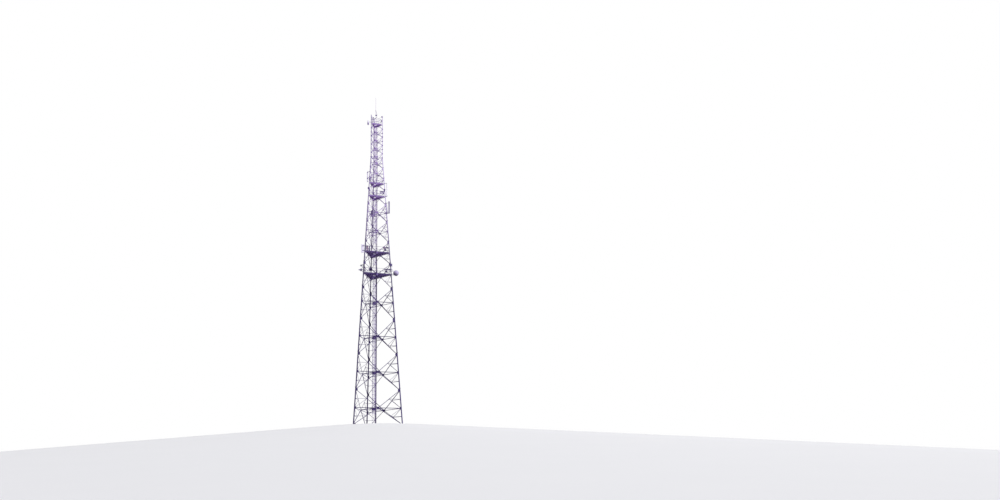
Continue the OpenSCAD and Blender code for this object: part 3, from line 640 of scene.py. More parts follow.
# Gives another finish to the faces of a CAD node whose middles pass a test
def refinish(name, finish, test):
    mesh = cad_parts[name].data
    mesh.materials.append(materials[finish])
    for polygon in mesh.polygons:
        if test(polygon.center / mm):
            polygon.material_index = 1


# The middle gussets of the front and right faces look paler than their bars: the front ones take the
# galvanised finish, and the right ones, seen from inside where they lie in shade, take a pale finish that is
# painted light over that shade
def paleGussets(face, k, finish):
    home = taperFace(k).inverted()
    for part in ("middle", "upper"):
        refinish("%s_bracing_%s" % (face, part), finish, lambda p: abs((home @ p).z) < gussetFace + 0.2
                 and abs((home @ p).x - axisX) < angleWidth[1] * 3)


paleGussets("front", 0, "galvanised")
paleGussets("right", 1, "paintedLightSteel")


# Gives the steel finish to the faces of an antenna that lie outside its cover
def steelOutside(name, insideCover):
    refinish(name, "armSteel", lambda p: not insideCover(p))


# Bars, plates and bolts in the plane of a face: X along the face, Y up its slope, Z out of it
alongBar = Matrix(((0, 0, 1, 0), (1, 0, 0, 0), (0, 1, 0, 0), (0, 0, 0, 1)))


def anglePoints(w, t):
    return [(-w / 2, 0), (w / 2, 0), (w / 2, w * 0.8), (w / 2 - t, w * 0.8), (w / 2 - t, t), (-w / 2, t)]


def barPlace(p, q, z):
    return move(p[0], p[1], z) @ towards(Vector(q) - Vector(p))


def hexHead(flats, height, washer=True):
    r = flats / 2 / math.cos(math.pi / 6)
    base = 1.4 if washer else 0
    head = lathe([(r, base), (r, height * 0.78 + base), (r * 0.84, height + base)], 6)
    return joined(lathe([(r * 1.12, 0), (r * 1.12, 1.4)], 10), head) if washer else head


def hexNut(flats, height, stub):
    return joined(hexHead(flats, height), lathe([(flats * 0.29, height), (flats * 0.26, height + stub)], 8))


boltSizes = [13.5, 12.5, 11, 9.5]
angleFace = gussetFace + angleThick - 0.5  # outer face of a bar that is let into its gusset
smallHead, middleHead, plateHead = hexHead(9, 5), hexHead(10, 6), hexHead(11, 7)


# Bolts through a bar and its gusset: heads at the height top, nuts under the height back
def boltPair(builder, place, x, y, flats, top, back):
    builder.add(hexHead(flats, flats * 0.62), place, x, y, top)
    builder.add(hexNut(flats, flats * 0.7, flats * 0.4), place, x, y, back, turn(180, "X"))


# Each bracing level of one part: number, height, bar width, leg radius, heights of its nodes on the legs
def faceLevels(wanted):
    for i, z in enumerate(levels):
        if partOf(i) == wanted:
            below = 170 if i == 0 else midHeight(i - 1)
            above = taperHeight - 90 if i == len(levels) - 1 else midHeight(i)
            yield i, z, angleWidth[wanted], legRadius[wanted], below, above


print("stage: fine bracing")
fine = {"width": [28, 21], "thick": 3.5, "lift": 0.3, "plate": 6.2, "ear": 7.6, "bolts": 0.85, "start": 0.62,
        "outline": [(-1.6, -0.5), (1.6, -0.5), (1.1, 0.95), (-1.1, 0.95)]}
partNames = ["lower", "middle", "upper"]
faceNames = ["front", "right", "left"]


def fineBracing(k, wanted):
    builder, bolts = Builder(), Builder()
    face = taperFace(k)
    size, front, ear = boltSizes[wanted] * fine["bolts"], gussetFace + fine["lift"], fine["ear"]
    for i, z, w, r, below, above in faceLevels(wanted):
        m = onFace(z, "mid")
        for where, sign in (("left", 1), ("right", -1)):
            c = onFace(z, where)
            for end, up in ((below, -1), (above, 1)):
                e = onFace(end, where)
                q = (m + e) / 2
                foot = onFace(q[1] * slope, where)
                way = math.atan2(e[1] - m[1], e[0] - m[0])
                flip = 1 if math.sin(way - math.atan2(c[1] - m[1], c[0] - m[0])) < 0 else -1
                plate = extrude([(x * w, y * w * flip) for x, y in fine["outline"]][::flip], fine["plate"])
                builder.add(plate, face @ barPlace(q, e, front - fine["plate"]))
                # corner plate on the level's gusset, and a small plate on the leg
                inner, rise = r * 0.5, 2.5 * w * up
                corner = [(inner, 0), (r + 2.1 * w, 0), (r + 1.2 * w, rise), (inner, rise)]
                tab = [(inner, -0.75 * w), (r + 1.5 * w, -0.4 * w), (r + 1.5 * w, 0.4 * w), (inner, 0.75 * w)]
                for outline, spot, order in ((corner, c, sign * up), (tab, foot, sign)):
                    outline = [(x * sign, y) for x, y in outline]
                    builder.add(extrude(outline[::order], ear), face, spot[0], spot[1], -ear / 2)
                for target, gap in ((c, (r + 14) / 0.78), (foot, r + 10)):
                    start = w * fine["start"]
                    place = face @ barPlace(q, target, front)
                    reach = (target - q).length
                    bar = extrude(anglePoints(fine["width"][wanted], fine["thick"]), reach - start - gap)
                    builder.add(bar, place @ move(start, 0, 0) @ alongBar)
                    x = (start + 10, start + 30, reach - gap - 10, reach - gap - 30)
                    boltPair(bolts, place, x, -2, size, fine["thick"], -fine["lift"] - 7.8)
    names = faceNames[k], partNames[wanted]
    builder.piece("%s_fine_bracing_%s" % names, "fineSteel" if wanted else "braceSteel")
    bolts.piece("%s_fine_bolts_%s" % names, "boltSteel")


for k in range(3):
    for wanted in range(2):
        fineBracing(k, wanted)


print("stage: gusset bolts")


# Gaps along a diagonal between its end and the middle of the horizontal, or the leg's axis
def midGap(w):
    return (0.95 * w + 6) / 0.56


def legGap(r, w):
    return (r + 12 + 0.34 * w) / 0.74


def gussetBolts(k, wanted):
    bolts = Builder()
    face = taperFace(k)
    size, diagonalFace = boltSizes[wanted], gussetFace + mast["seat"] + angleThick
    for i, z, w, r, below, above in faceLevels(wanted):
        m, left, right = onFace(z, "mid"), onFace(z, "left"), onFace(z, "right")
        level = face @ barPlace(left, right, 0)
        width = (right - left).length
        ends = [r + 28 + j * 0.48 * w for j in range(3)]
        boltPair(bolts, level, ends + [width - x for x in ends], -3, size, angleFace, -thinFace)
        middles = [width / 2 + x * w for x in (-2.1, -1.2, 1.2, 2.1)]
        boltPair(bolts, level, middles, -3, size, angleFace, -gussetFace)
        for end, legR in ((below, legRadius[partOf(max(i - 1, 0))]), (above, r)):
            for where in ("left", "right"):
                e = onFace(end, where)
                near = (e - m).length - legGap(legR, w)
                x = [midGap(w) + 0.24 * w + j * 0.42 * w for j in range(2)]
                x += [near - (0.28 + 0.4 * j) * w for j in range(3 if wanted < 2 else 2)]
                boltPair(bolts, face @ barPlace(m, e, 0), x, -3, size, diagonalFace, -gussetFace)
    bolts.piece("%s_bolts_%s" % (faceNames[k], partNames[wanted]), "boltSteel")


def topBolts():
    bolts = Builder()
    w, r, size, half = angleWidth[3], legRadius[3], boltSizes[3], mast["topPanel"] / 2
    for k in range(3):
        face = topFace(k)
        for i, z in enumerate(topLevels):
            ends = (r + 24, r + 42, topSide - r - 24, topSide - r - 42)
            boltPair(bolts, face, ends, z - 2, size, angleFace, -thinFace)
            boltPair(bolts, face, (topSide / 2 - 40, topSide / 2 + 40), z - 2, size, angleFace, -gussetFace)
            m = Vector((topSide / 2, z))
            for e in ([z - half] if i else []) + ([z + half] if i < 4 else []):
                for x in (0, topSide):
                    end = Vector((x, e))
                    place = face @ barPlace(m, end, 0)
                    near = (end - m).length - legGap(r, w)
                    boltPair(bolts, place, midGap(w) + 11, -2, size, angleFace, -gussetFace)
                    boltPair(bolts, place, (near - 9, near - 25), -2, size, angleFace, -thinFace)
    bolts.piece("top_section_bolts", "boltSteel")


for k in range(3):
    for wanted in range(3):
        gussetBolts(k, wanted)
topBolts()


print("stage: leg splices and feet")
splice = {"bolts": 10, "topBolts": 8, "seam": 2.0, "proud": 0.7, "flats": [17, 15, 13.5, 12], "ring": 17,
          "edge": 29, "topRing": 13, "topSeam": (54, 55.6)}
anchor = {"count": 8, "ring": 122, "stud": 9.5, "height": 66, "flats": 30, "nut": 16, "washer": 21,
          "seat": 20}


def flangeBolts(builder, place, ring, flats, half, count):
    for j in range(count):
        spot = place @ turn((j + 0.5) * 360 / count) @ move(ring, 0, 0)
        builder.add(hexHead(flats, flats * 0.62), spot, z=half)
        builder.add(hexNut(flats, flats * 0.75, flats * 0.5), spot, z=-half, way=turn(180, "X"))


def legFittings(k, name):
    bolts, seams = Builder(), Builder()
    half, seam, flats = mast["spliceThick"] / 2, splice["seam"], splice["flats"]
    for i in range(11):
        r, place = legRadius[partOf(i)], alongLeg(k, spliceAt(i))
        flangeBolts(bolts, place, r + splice["ring"], flats[partOf(i)], half, splice["bolts"])
        band = ringBand(r + splice["edge"], r + splice["edge"] + 1 + splice["proud"], seam, 32)
        seams.add(band, place, z=-seam / 2)
    top = alongLeg(k, taperHeight) @ move(0, 0, mast["seat"] / 2)
    flangeBolts(bolts, top, legRadius[2] + splice["ring"], flats[2], half + 0.1, splice["topBolts"])
    highSplice = (mast["nodeGusset"] + 1) * angleWidth[3] + half
    high = alongLeg(k, topLevels[2] + mast["topPanel"] / 2 + highSplice)
    flangeBolts(bolts, high, legRadius[3] + splice["topRing"], flats[3], half, splice["topBolts"])
    seams.add(ringBand(*splice["topSeam"], seam, 32), high, z=-seam / 2)
    stud, height, seat = anchor["stud"], anchor["height"], anchor["seat"]
    nut = hexHead(anchor["flats"], anchor["nut"], False)
    for j in range(anchor["count"]):
        spot = turned(k) @ turn(360 / anchor["count"] * j) @ move(anchor["ring"], 0, 0)
        bolts.add(lathe([(stud, 0.5), (stud, height - 3), (stud - 3, height)], 16), spot)
        bolts.add(pin(anchor["washer"], seat, seat + 3, 20), spot)
        bolts.add(nut, spot, z=seat + 3, way=turn(7 * j))
        bolts.add(nut, spot, z=seat + 4 + anchor["nut"], way=turn(11 * j))
    bolts.piece(name + "_flange_bolts", "boltSteel")
    seams.piece(name + "_flange_seams", "cableSheath")


for k, name in enumerate(("front_left", "front_right", "rear")):
    legFittings(k, name)


print("stage: platforms")
deck = {"inset": 25, "rib": 16, "joistPitch": 150, "joistThick": 5, "joistDepth": 30, "shortest": 60}
ladder = {"x": axisX - 75, "width": 200, "front": 100, "depth": 30, "stile": 10, "pitch": 150, "rung": 7,
          "cuts": [300, levels[3] + 600, levels[7] + 600, topHeight + 550]}
tray = {"x": axisX + 155, "pitch": 400, "step": 23, "feeder": 11,
        "tops": [topHeight - 700, platformLevels[2] + 700, platformLevels[1] + 300, topHeight - 1700,
                 platformLevels[0] + 500]}
hatchX = (ladder["x"] - 140, ladder["x"] + 140)
hatchY = (axisY - 190, axisY + 140)
slotRight = tray["x"] + 73
ladderFront = axisY + ladder["front"]
ladderMiddle = ladderFront + ladder["depth"] / 2


def deckOutline(z, inset, corner):
    reach = 2 * innerRadius(sideAt(z)) - 2 * inset - corner
    cut = corner / math.sqrt(3)
    return [Vector((axisX, axisY)) + way * reach + Vector((-way.y, way.x)) * (cut * e)
            for way in map(outward, range(3)) for e in (-1, 1)]


def spanAt(outline, x):
    hits = []
    for a, b in zip(outline, outline[1:] + outline[:1]):
        if (a.x - x) * (b.x - x) < 0:
            hits.append(a.y + (b.y - a.y) * (x - a.x) / (b.x - a.x))
    return (min(hits), max(hits)) if len(hits) > 1 else None


def deckJoists():
    builder = Builder()
    rib, thick, depth, far = deck["rib"], deck["joistThick"], deck["joistDepth"], axisY * 3
    for p, z in enumerate(platformLevels):
        corner = radiusAt(z) - 15
        outline = deckOutline(z, deck["inset"] + rib, max(corner - rib, 2))
        half = sideAt(z) / 2
        x1 = hatchX[1] if p == 4 else slotRight
        panels = [(axisX - half, 0, hatchX[0], far), (x1, 0, axisX + half, far),
                  (hatchX[0], 0, x1, hatchY[0]), (hatchX[0], hatchY[1], x1, far)]
        top = z + mast["deckBottom"] + mast["deckHeight"] - mast["deckThick"]
        for x0, y0, xEnd, yEnd in panels:
            x = x0 + rib + deck["joistPitch"] * 0.5
            while x < xEnd - rib - 20:
                span = spanAt(outline, x) or (0, 0)
                low, high = max(span[0], y0 + rib), min(span[1], yEnd - rib)
                if high - low > deck["shortest"]:
                    builder.add(block(thick, high - low, depth), move(x, (low + high) / 2, top - depth))
                x += deck["joistPitch"]
    builder.piece("platform_joists", "deckSteel")


rail = {"inset": 47, "capStep": 55, "plate": (70, 60, 5), "bolt": (25, 21), "midRail": 0.52}
railHeights = (mast["railHeight"] * rail["midRail"], mast["railHeight"])


# Place on a platform's rail: X along it, Y inwards, Z up from the floor
def onRail(platform, along, up, k=0):
    edge = axisY - innerRadius(sideAt(platformLevels[platform])) + rail["inset"]
    return turned(k) @ move(axisX + along, edge, floorAt(platform) + up)


def railFittings():
    builder, bolts = Builder(), Builder()
    rr = mast["railRadius"]
    for p, z in enumerate(platformLevels):
        half = sideAt(z) / 2 - rail["inset"] * math.sqrt(3) - rail["capStep"]
        tip, start = half + rail["capStep"], half + rr - 2
        # bent ends that close the rails round each leg
        a, b = Vector((start, 0)), Vector((tip, 0))
        c = b + (start - tip) * Vector((math.cos(math.radians(60)), -math.sin(math.radians(60))))
        steps = [j / 8 for j in range(9)]
        bend = [((1 - u) ** 2 * a + 2 * u * (1 - u) * b + u * u * c).to_3d() for u in steps]
        posts, (boltX, boltY) = (-half, 0, half), rail["bolt"]
        for k in range(3):
            side = onRail(p, 0, 0, k)
            builder.add(block(*rail["plate"]), side, posts, 0, -0.3)
            builder.add(lathe([(rr + 5, 5), (rr + 5, 10), (rr + 0.5, 22)], 16), side, posts)
            joint = lathe([(rr + 0.6, -22), (rr + 2.6, -15), (rr + 2.6, 0)], 16)
            builder.add(joint, side, posts, 0, railHeights)
            bolts.add(plateHead, side, [x + b for x in posts for b in (-boltX, boltX)], (-boltY, boltY), 4.7)
            builder.add(sweep(bend, rr, 16), side, z=railHeights)
    builder.piece("railing_fittings", "legSteel")
    bolts.piece("railing_bolts", "boltSteel")


deckJoists()
railFittings()


print("stage: ladder, cage and feeders")
cage = {"radius": 160, "hoopPitch": 350, "hoop": 24, "rivet": (4, 3.2), "rivetX": (-6, 6), "faces": (-4, 4.5),
        "runs": [(1250, platformLevels[0] - 40)] + [(platformLevels[i] + 1100, platformLevels[j] - 40)
                                                    for i, j in ((0, 1), (1, 2), (3, 4))]}
cageMiddle = ladderFront + 105 - cage["radius"] * math.sqrt(2)


def cageRivets():
    builder = Builder()
    r, h = cage["rivet"]
    rivet = lathe([(r, 0), (r * 0.9, h * 0.55), (r * 0.45, h)], 8)
    for low, high in cage["runs"]:
        z = low + 10
        while z <= high - 34:
            middle = move(ladder["x"], cageMiddle, z + cage["hoop"] / 2)
            for a in (-90, -45, 0, 45, 90):
                hoop = middle @ turn(a) @ move(0, -cage["radius"], 0)
                for y, side in zip(cage["faces"], (90, -90)):
                    builder.add(rivet, hoop, cage["rivetX"], y, 0, turn(side, "X"))
            z += cage["hoopPitch"]
    builder.piece("cage_rivets", "boltSteel")


fishplate = {"size": (5, 26, 180), "bolts": (20, 60, 120, 160)}


def ladderWelds():
    builder = Builder()
    cuts, half, stile, rung = ladder["cuts"], ladder["width"] / 2, ladder["stile"] / 2, ladder["rung"]
    for low, high in zip(cuts, cuts[1:]):
        z = low + ladder["pitch"] / 2
        while z <= high - rung - 0.3:
            for sign in (-1, 1):
                place = move(ladder["x"] + sign * (half - stile), ladderMiddle, z) @ turn(-90 * sign, "Y")
                builder.add(lathe([(rung + 4, 0), (rung + 0.4, 4.5)], 10), place)
            z += ladder["pitch"]
    # fishplates where two runs of the ladder meet
    thick, width, height = fishplate["size"]
    for cut in cuts[1:3]:
        for sign in (-1, 1):
            x = ladder["x"] + sign * (half + stile)
            plate = move(x + sign * thick / 2, ladderMiddle, cut - height / 2)
            builder.add(block(thick, width, height), plate)
            builder.add(plateHead, plate, sign * thick / 2, 0, fishplate["bolts"], turn(90 * sign, "Y"))
    builder.piece("ladder_welds", "galvanised")


feederClamp = {"height": 26, "depth": 27, "strap": 3, "side": 13}


def feederX(i):
    return tray["x"] + (i - 2) * tray["step"]


def feederClamps():
    clamps, straps = Builder(), Builder()
    height, depth, strap = feederClamp["height"], feederClamp["depth"], feederClamp["strap"]
    z = tray["pitch"]
    while z < topHeight - 80:
        present = [feederX(i) for i in range(5) if tray["tops"][i] > z + 30]
        if present:
            low, high = present[0] - feederClamp["side"], present[-1] + feederClamp["side"]
            middle = (low + high) / 2
            clamps.add(block(high - low, depth, height), move(middle, ladderFront - depth / 2, z - 5))
            straps.add(block(high - low + 24, strap, height - 6),
                       move(middle, ladderFront - depth - strap / 2, z - 2))
            ends = move(0, ladderFront, z + 8)
            straps.add(pin(3, 0, depth + 9, 8), ends, (low - 6, high + 6), 4, 0, turn(90, "X"))
            straps.add(smallHead, ends, (low - 6, high + 6), -depth - strap, 0, turn(90, "X"))
        z += tray["pitch"]
    clamps.piece("feeder_clamps", "cableSheath")
    straps.piece("feeder_straps", "galvanised")


def feederEnds():
    builder, sleeves = Builder(), Builder()
    for i, top in enumerate(tray["tops"]):
        place = move(feederX(i), ladderFront - tray["feeder"] - mast["seat"], top)
        sleeves.add(lathe([(11.6, -46), (12.2, -40), (12.2, -6), (9, 4)], 20), place)
        builder.add(pin(8.6, 0, 16, 6), place)
        builder.add(lathe([(7.4, 16), (7.4, 24), (5, 26), (5, 34)], 16), place)
    sleeves.piece("feeder_sleeves", "cableSheath")
    builder.piece("feeder_plugs", "galvanised")


hanger = {"size": (430, 6, 260), "x": 20, "back": 193.3, "low": 54.4, "flats": 15,
          "bolts": (-170, -60, 60, 170), "boltRise": 131, "edge": (8, 34), "packer": (26, 26, 60),
          "packerRise": 150}
topBoard = {"x": 2325, "lift": 135, "size": (420, 6, 110), "doubler": (190, 80, 6), "aside": 118, "low": -235,
            "proud": 25.4, "collar": (9, 100, 110), "collarLift": -55}


# Boards on the bars that hold the ladder and the feeders
def hangerBoards():
    boards, bolts = Builder(), Builder()
    w, t, h = hanger["size"]
    for z in levels[:4]:
        place = move(axisX + hanger["x"], axisY + hanger["back"], z - hanger["low"])
        boards.add(block(w, t, h), place)
        boards.add(block(*hanger["edge"], h), place, (-w / 2 + 5, w / 2 - 5), hanger["edge"][1] / 2)
        head = hexHead(hanger["flats"], 9)
        bolts.add(head, place, hanger["bolts"], t / 2, hanger["boltRise"], turn(-90, "X"))
        boards.add(block(*hanger["packer"]), place, hanger["bolts"], 16, hanger["packerRise"])
    w, t, h = topBoard["size"]
    dw, dh, dt = topBoard["doubler"]
    for z in topLevels[:4]:
        place = move(topBoard["x"], ladderFront + ladder["depth"] + 0.5 + t / 2, z + topBoard["lift"])
        boards.add(block(w, t, h), place)
        boards.add(block(w, 22, 5), place, 0, t / 2 + 8)
        ends = (-w / 2 + 30, -w / 2 + 60, w / 2 - 60, w / 2 - 30)
        bolts.add(plateHead, place, ends, t / 2, h * 0.6, turn(-90, "X"))
        # doubler on the front face's middle gusset
        place = topFace(0) @ move(topSide / 2 + topBoard["aside"], z + topBoard["low"], 0)
        boards.add(block(dw, dh, dt), place, z=topBoard["proud"])
        bolts.add(plateHead, place, (-dw / 2 + 16, dw / 2 - 16), (-dh / 2 + 14, dh / 2 - 14),
                  topBoard["proud"] + dt)
    # open collars round the outer side of the front legs at each node of the top section
    collar = openBand(legRadius[3] + 0.3, *topBoard["collar"])
    for k in (0, 1):
        for z in topLevels[:4]:
            for lift in (topBoard["collarLift"], topBoard["collarLift"] + mast["topPanel"] / 2):
                boards.add(collar, alongLeg(k, z + lift) @ turn(210))
    boards.piece("ladder_hanger_boards", "armSteel")
    bolts.piece("ladder_hanger_bolts", "boltSteel")


hangerBoards()
cageRivets()
ladderWelds()
feederClamps()
feederEnds()


print("stage: antennas")
clampRoom = 52  # half a clamp and some air


# Heights where an arm's clamp clears the gussets and splices of a leg
def aboveLevel(i):
    return levels[i] + mast["levelGusset"] * angleWidth[partOf(i)] + clampRoom


def belowNode(i):
    return midHeight(i) - mast["nodeGusset"] * angleWidth[partOf(i)] - clampRoom


def aboveSplice(i):
    return spliceAt(i) + mast["spliceThick"] / 2 + clampRoom


rightWay, leftWay = Vector((0.92, -0.39)), Vector((-0.92, 0.39))
armFlange = {"size": (8, 78, 48), "out": 18, "boltY": (-30, 30), "boltZ": (-14, 14)}


# Flange of each arm at its leg's clamp, with four bolts
def armFlanges(steel, bolts, leg, arms, xy):
    thick, width, height = armFlange["size"]
    for z in arms:
        foot = legXY(leg, z)
        arm, out = over(foot, z) @ towards(xy - foot), radiusAt(z) + armFlange["out"]
        steel.add(block(thick, width, height), arm, out, 0, -height / 2)
        bolts.add(hexHead(12, 8), arm, out + thick / 2, armFlange["boltY"], armFlange["boltZ"], turn(90, "Y"))


drum = {"radius": 255, "arms": [aboveLevel(4), aboveLevel(4) + 300], "lift": 35, "out": 445, "turn": -10,
        "pipe": 28, "depth": 240, "lip": 120, "hooks": 16, "fins": 8, "stayDrop": 140, "stay": 17,
        "fin": [(58, 8), (130, 20), (244, 82), (244, 103), (153, 51), (58, 43)], "saddles": (-62, 62),
        "saddle": (128, 26, 34), "backPlate": (128, 9, 34), "rods": (-50, 50), "rod": 5}


def drumTrim():
    cover, steel, bolts = Builder(), Builder(), Builder()
    r, depth, lip, pipe = (drum[key] for key in ("radius", "depth", "lip", "pipe"))
    z = drum["arms"][0] + drum["lift"]
    leg = legXY(1, z)
    xy = leg + drum["out"] * rightWay
    place = over(xy, z) @ turn(drum["turn"]) @ move(0, -pipe - 0.3, 0)
    front = place @ turn(90, "X")
    home = front.inverted()
    steelOutside("drum_antenna", lambda p: (home @ p).z > lip - 1)
    # low stay from the leg to the foot of the pipe
    stayZ = z - drum["stayDrop"]
    near = leg + rightWay * (legRadius[1] - 4)
    steel.add(sweep([(near.x, near.y, stayZ + 24), (xy.x, xy.y, stayZ)], drum["stay"], 12))
    steel.add(ringBand(pipe + 0.3, pipe + 8, 44, 24), over(xy, stayZ - 22))
    cover.add(ringBand(r - 2, r + 5, 12, 64), front, z=depth - 8)
    steel.add(ringBand(r - 2, r + 8, 7, 64), front, z=lip - 3)
    steel.add(ringBand(r - 1, r + 3, 10, 64), front, z=lip + 42)
    for j in range(drum["hooks"]):
        side = front @ turn((j + 0.5) * 360 / drum["hooks"])
        steel.add(block(7, 14, 40), side, r + 6, 0, depth - 40)
        steel.add(sweep([(r + 9.5, 0, depth - h) for h in (76, 62, 50, 36)], 2.6, 8), side)
        steel.add(block(9, 18, 7), side, r + 5, 0, depth)
    for j in range(drum["fins"]):
        side = front @ turn((j + 0.5) * 360 / drum["fins"])
        steel.add(extrude(drum["fin"], 6), side, 0, 3, 0, turn(90, "X"))
    steel.add(ringBand(54, 72, 6, 40), front, z=36)
    # saddle and back plate that grip the pipe, with their threaded rods
    plates = [dz - drum["saddle"][2] / 2 for dz in drum["saddles"]]
    steel.add(block(*drum["saddle"]), place, 0, 12, plates)
    steel.add(block(*drum["backPlate"]), place, 0, 2 * pipe + 6, plates)
    steel.add(pin(drum["rod"], -4, 92, 10), place, drum["rods"], 0, drum["saddles"], turn(-90, "X"))
    steel.add(hexNut(17, 10, 8), place, drum["rods"], 2 * pipe + 10, drum["saddles"], turn(-90, "X"))
    armFlanges(steel, bolts, 1, drum["arms"], xy)
    cover.piece("drum_antenna_rim", "drumCover")
    steel.piece("drum_antenna_fittings", "armSteel")
    bolts.piece("drum_mount_bolts", "boltSteel")


tube = {"radius": 22, "arms": [drum["arms"][1] + 150, belowNode(4)], "out": 130, "below": 60, "above": 210,
        "stayDrop": 34, "stay": (10, 52), "saddle": (9, 62, 70), "bands": (-30, -12, 4, 22)}


def tubeTrim():
    cover, steel, bolts = Builder(), Builder(), Builder()
    r, arms, band = tube["radius"], tube["arms"], legRadius[1]
    xy = legXY(1, (arms[0] + arms[1]) / 2) + tube["out"] * rightWay
    foot, top = over(xy, arms[0] - tube["below"]), over(xy, arms[1] + tube["above"])
    steelOutside("tube_antenna", lambda p: (p.xy - xy).length < r + 1)
    # saddle on the leg's outer side and a flat stay to the tube's head
    headZ = arms[1] + tube["above"] - tube["stayDrop"]
    leg = legXY(1, headZ)
    reach = (xy - leg).length
    stay = over(leg, headZ) @ towards(xy - leg)
    steel.add(block(*tube["saddle"]), stay, band + 2, 0, -tube["saddle"][2] / 2)
    flat = block(reach - band - r, *tube["stay"])
    steel.add(flat, stay, (reach + band - r) / 2 + 3, 0, -tube["stay"][1] / 2)
    steel.add(ringBand(r + 0.3, r + 6, 56, 24), over(xy, headZ - 28))
    cover.add(lathe([(r + 1, -20), (r + 3, -16), (r + 3, 4), (r - 3, 12), (4, 15)], 24), top)
    cover.add(lathe([(r - 2, -12), (r + 3, -5), (r + 3, 14), (r + 1, 18)], 24), foot)
    steel.add(lathe([(9, -40), (11, -38), (11, -24), (8, -23), (8, -12)], 16), foot)
    for z in arms:
        steel.add(ringBand(r + 0.2, r + 4.5, 8, 24), over(xy, z), z=tube["bands"])
    armFlanges(steel, bolts, 1, arms, xy)
    cover.piece("tube_antenna_caps", "paleCover")
    steel.piece("tube_antenna_fittings", "armSteel")
    bolts.piece("tube_antenna_bolts", "boltSteel")


# The two dishes: how far skirt and nose reach beyond the rim, and heights of the stays over the middle
smallDish = {"turn": -8, "pipe": 20, "bands": (-44, 34), "stayPipe": 13, "latches": 6, "stay": (22, 30),
             "depth": 0.3, "rim": 0.22, "boss": 0.34, "dishes": [
    {"radius": 140, "z": aboveLevel(4) + 240, "out": 130, "skirt": 6, "nose": 110, "stays": (-178, 212)},
    {"radius": 84, "z": belowNode(4) - 150, "out": 190, "skirt": 40, "nose": 0, "stays": (-120, 110)},
]}


def smallDishTrim():
    covers, steel, bolts = Builder(), Builder(), Builder()
    homes, band = [], legRadius[1]
    for dish in smallDish["dishes"]:
        r, z, stays = dish["radius"], dish["z"], dish["stays"]
        xy = legXY(0, z) + dish["out"] * leftWay
        front = over(xy, z) @ turn(smallDish["turn"]) @ move(-40, 0, 0) @ turn(-90, "Y")
        depth, rim, boss = r * smallDish["depth"], r * smallDish["rim"], r * smallDish["boss"]
        edge, lip = depth + rim, depth + rim * 0.3
        homes.append((front.inverted(), r, depth))
        steel.add(ringBand(r + 3.4, r + 6.5, rim * 0.4, 48), front, z=lip)
        steel.add(ringBand(r - 1, r + 6, 4, 48), front, z=edge - 2)
        # skirt that widens from the rim, and a nose that runs on from the larger dish's cone
        inner, outer = r + 3.6, r + dish["skirt"]
        covers.add(turnedBand([(inner, depth + 2), (outer, depth + rim * 0.4), (outer + 3, edge),
                               (outer - 2, edge), (inner, depth + rim * 0.7)], 48), front)
        steel.add(ringBand(outer + 1, outer + 7, rim * 0.8, 48), front, z=lip)
        if dish["nose"]:
            tip = edge + 1.15 * 0.9 * r + dish["nose"]
            covers.add(lathe([(0.66 * r, edge + 0.3 * r), (0.68 * r, edge + 0.34 * r), (0.16 * r, tip - 8),
                              (0.06 * r, tip)], 48), front)
        for j in range(smallDish["latches"]):
            latch = front @ turn((j + 0.5) * 360 / smallDish["latches"]) @ move(outer + 3, 0, lip)
            steel.add(block(5, 14, rim * 0.9), latch)
            bolts.add(hexHead(8, 5), latch, 2.5, 0, rim * 0.45, turn(90, "Y"))
        back = front @ turn(180, "X")
        steel.add(lathe([(boss, -r * 0.036), (boss, 5), (18, 16)], 32), back)
        for a in range(4):
            bolts.add(smallHead, back @ turn(90 * a + 45), boss - 9, 0, 5)
        pipe = smallDish["pipe"]
        steel.add(ringBand(pipe + 0.3, pipe + 4.5, 10, 24), over(xy, z), z=smallDish["bands"])
        # the pipe runs on above and below, held by two more arms
        low, high = z + min(stays) - 40, z + max(stays) + 40
        steel.add(pin(smallDish["stayPipe"], 0, high - low, 20), over(xy, low))
        for stayZ in (z + dz for dz in stays):
            leg = legXY(0, stayZ)
            steel.add(ringBand(band + 0.3, band + 9, 44, 40), alongLeg(0, stayZ), z=-22)
            arm, reach = over(leg, stayZ) @ towards(xy - leg), (xy - leg).length
            stay = block(reach - band, *smallDish["stay"])
            steel.add(stay, arm, (reach + band) / 2, 0, -smallDish["stay"][1] / 2)
        armFlanges(steel, bolts, 0, [z], xy)
    steelOutside("small_dishes", lambda p: any((home @ p).z > depth - 1 and (home @ p).xy.length < r + 5
                                               for home, r, depth in homes))
    covers.piece("small_dish_skirts", "greyCover")
    steel.piece("small_dish_fittings", "armSteel")
    bolts.piece("small_dish_bolts", "boltSteel")


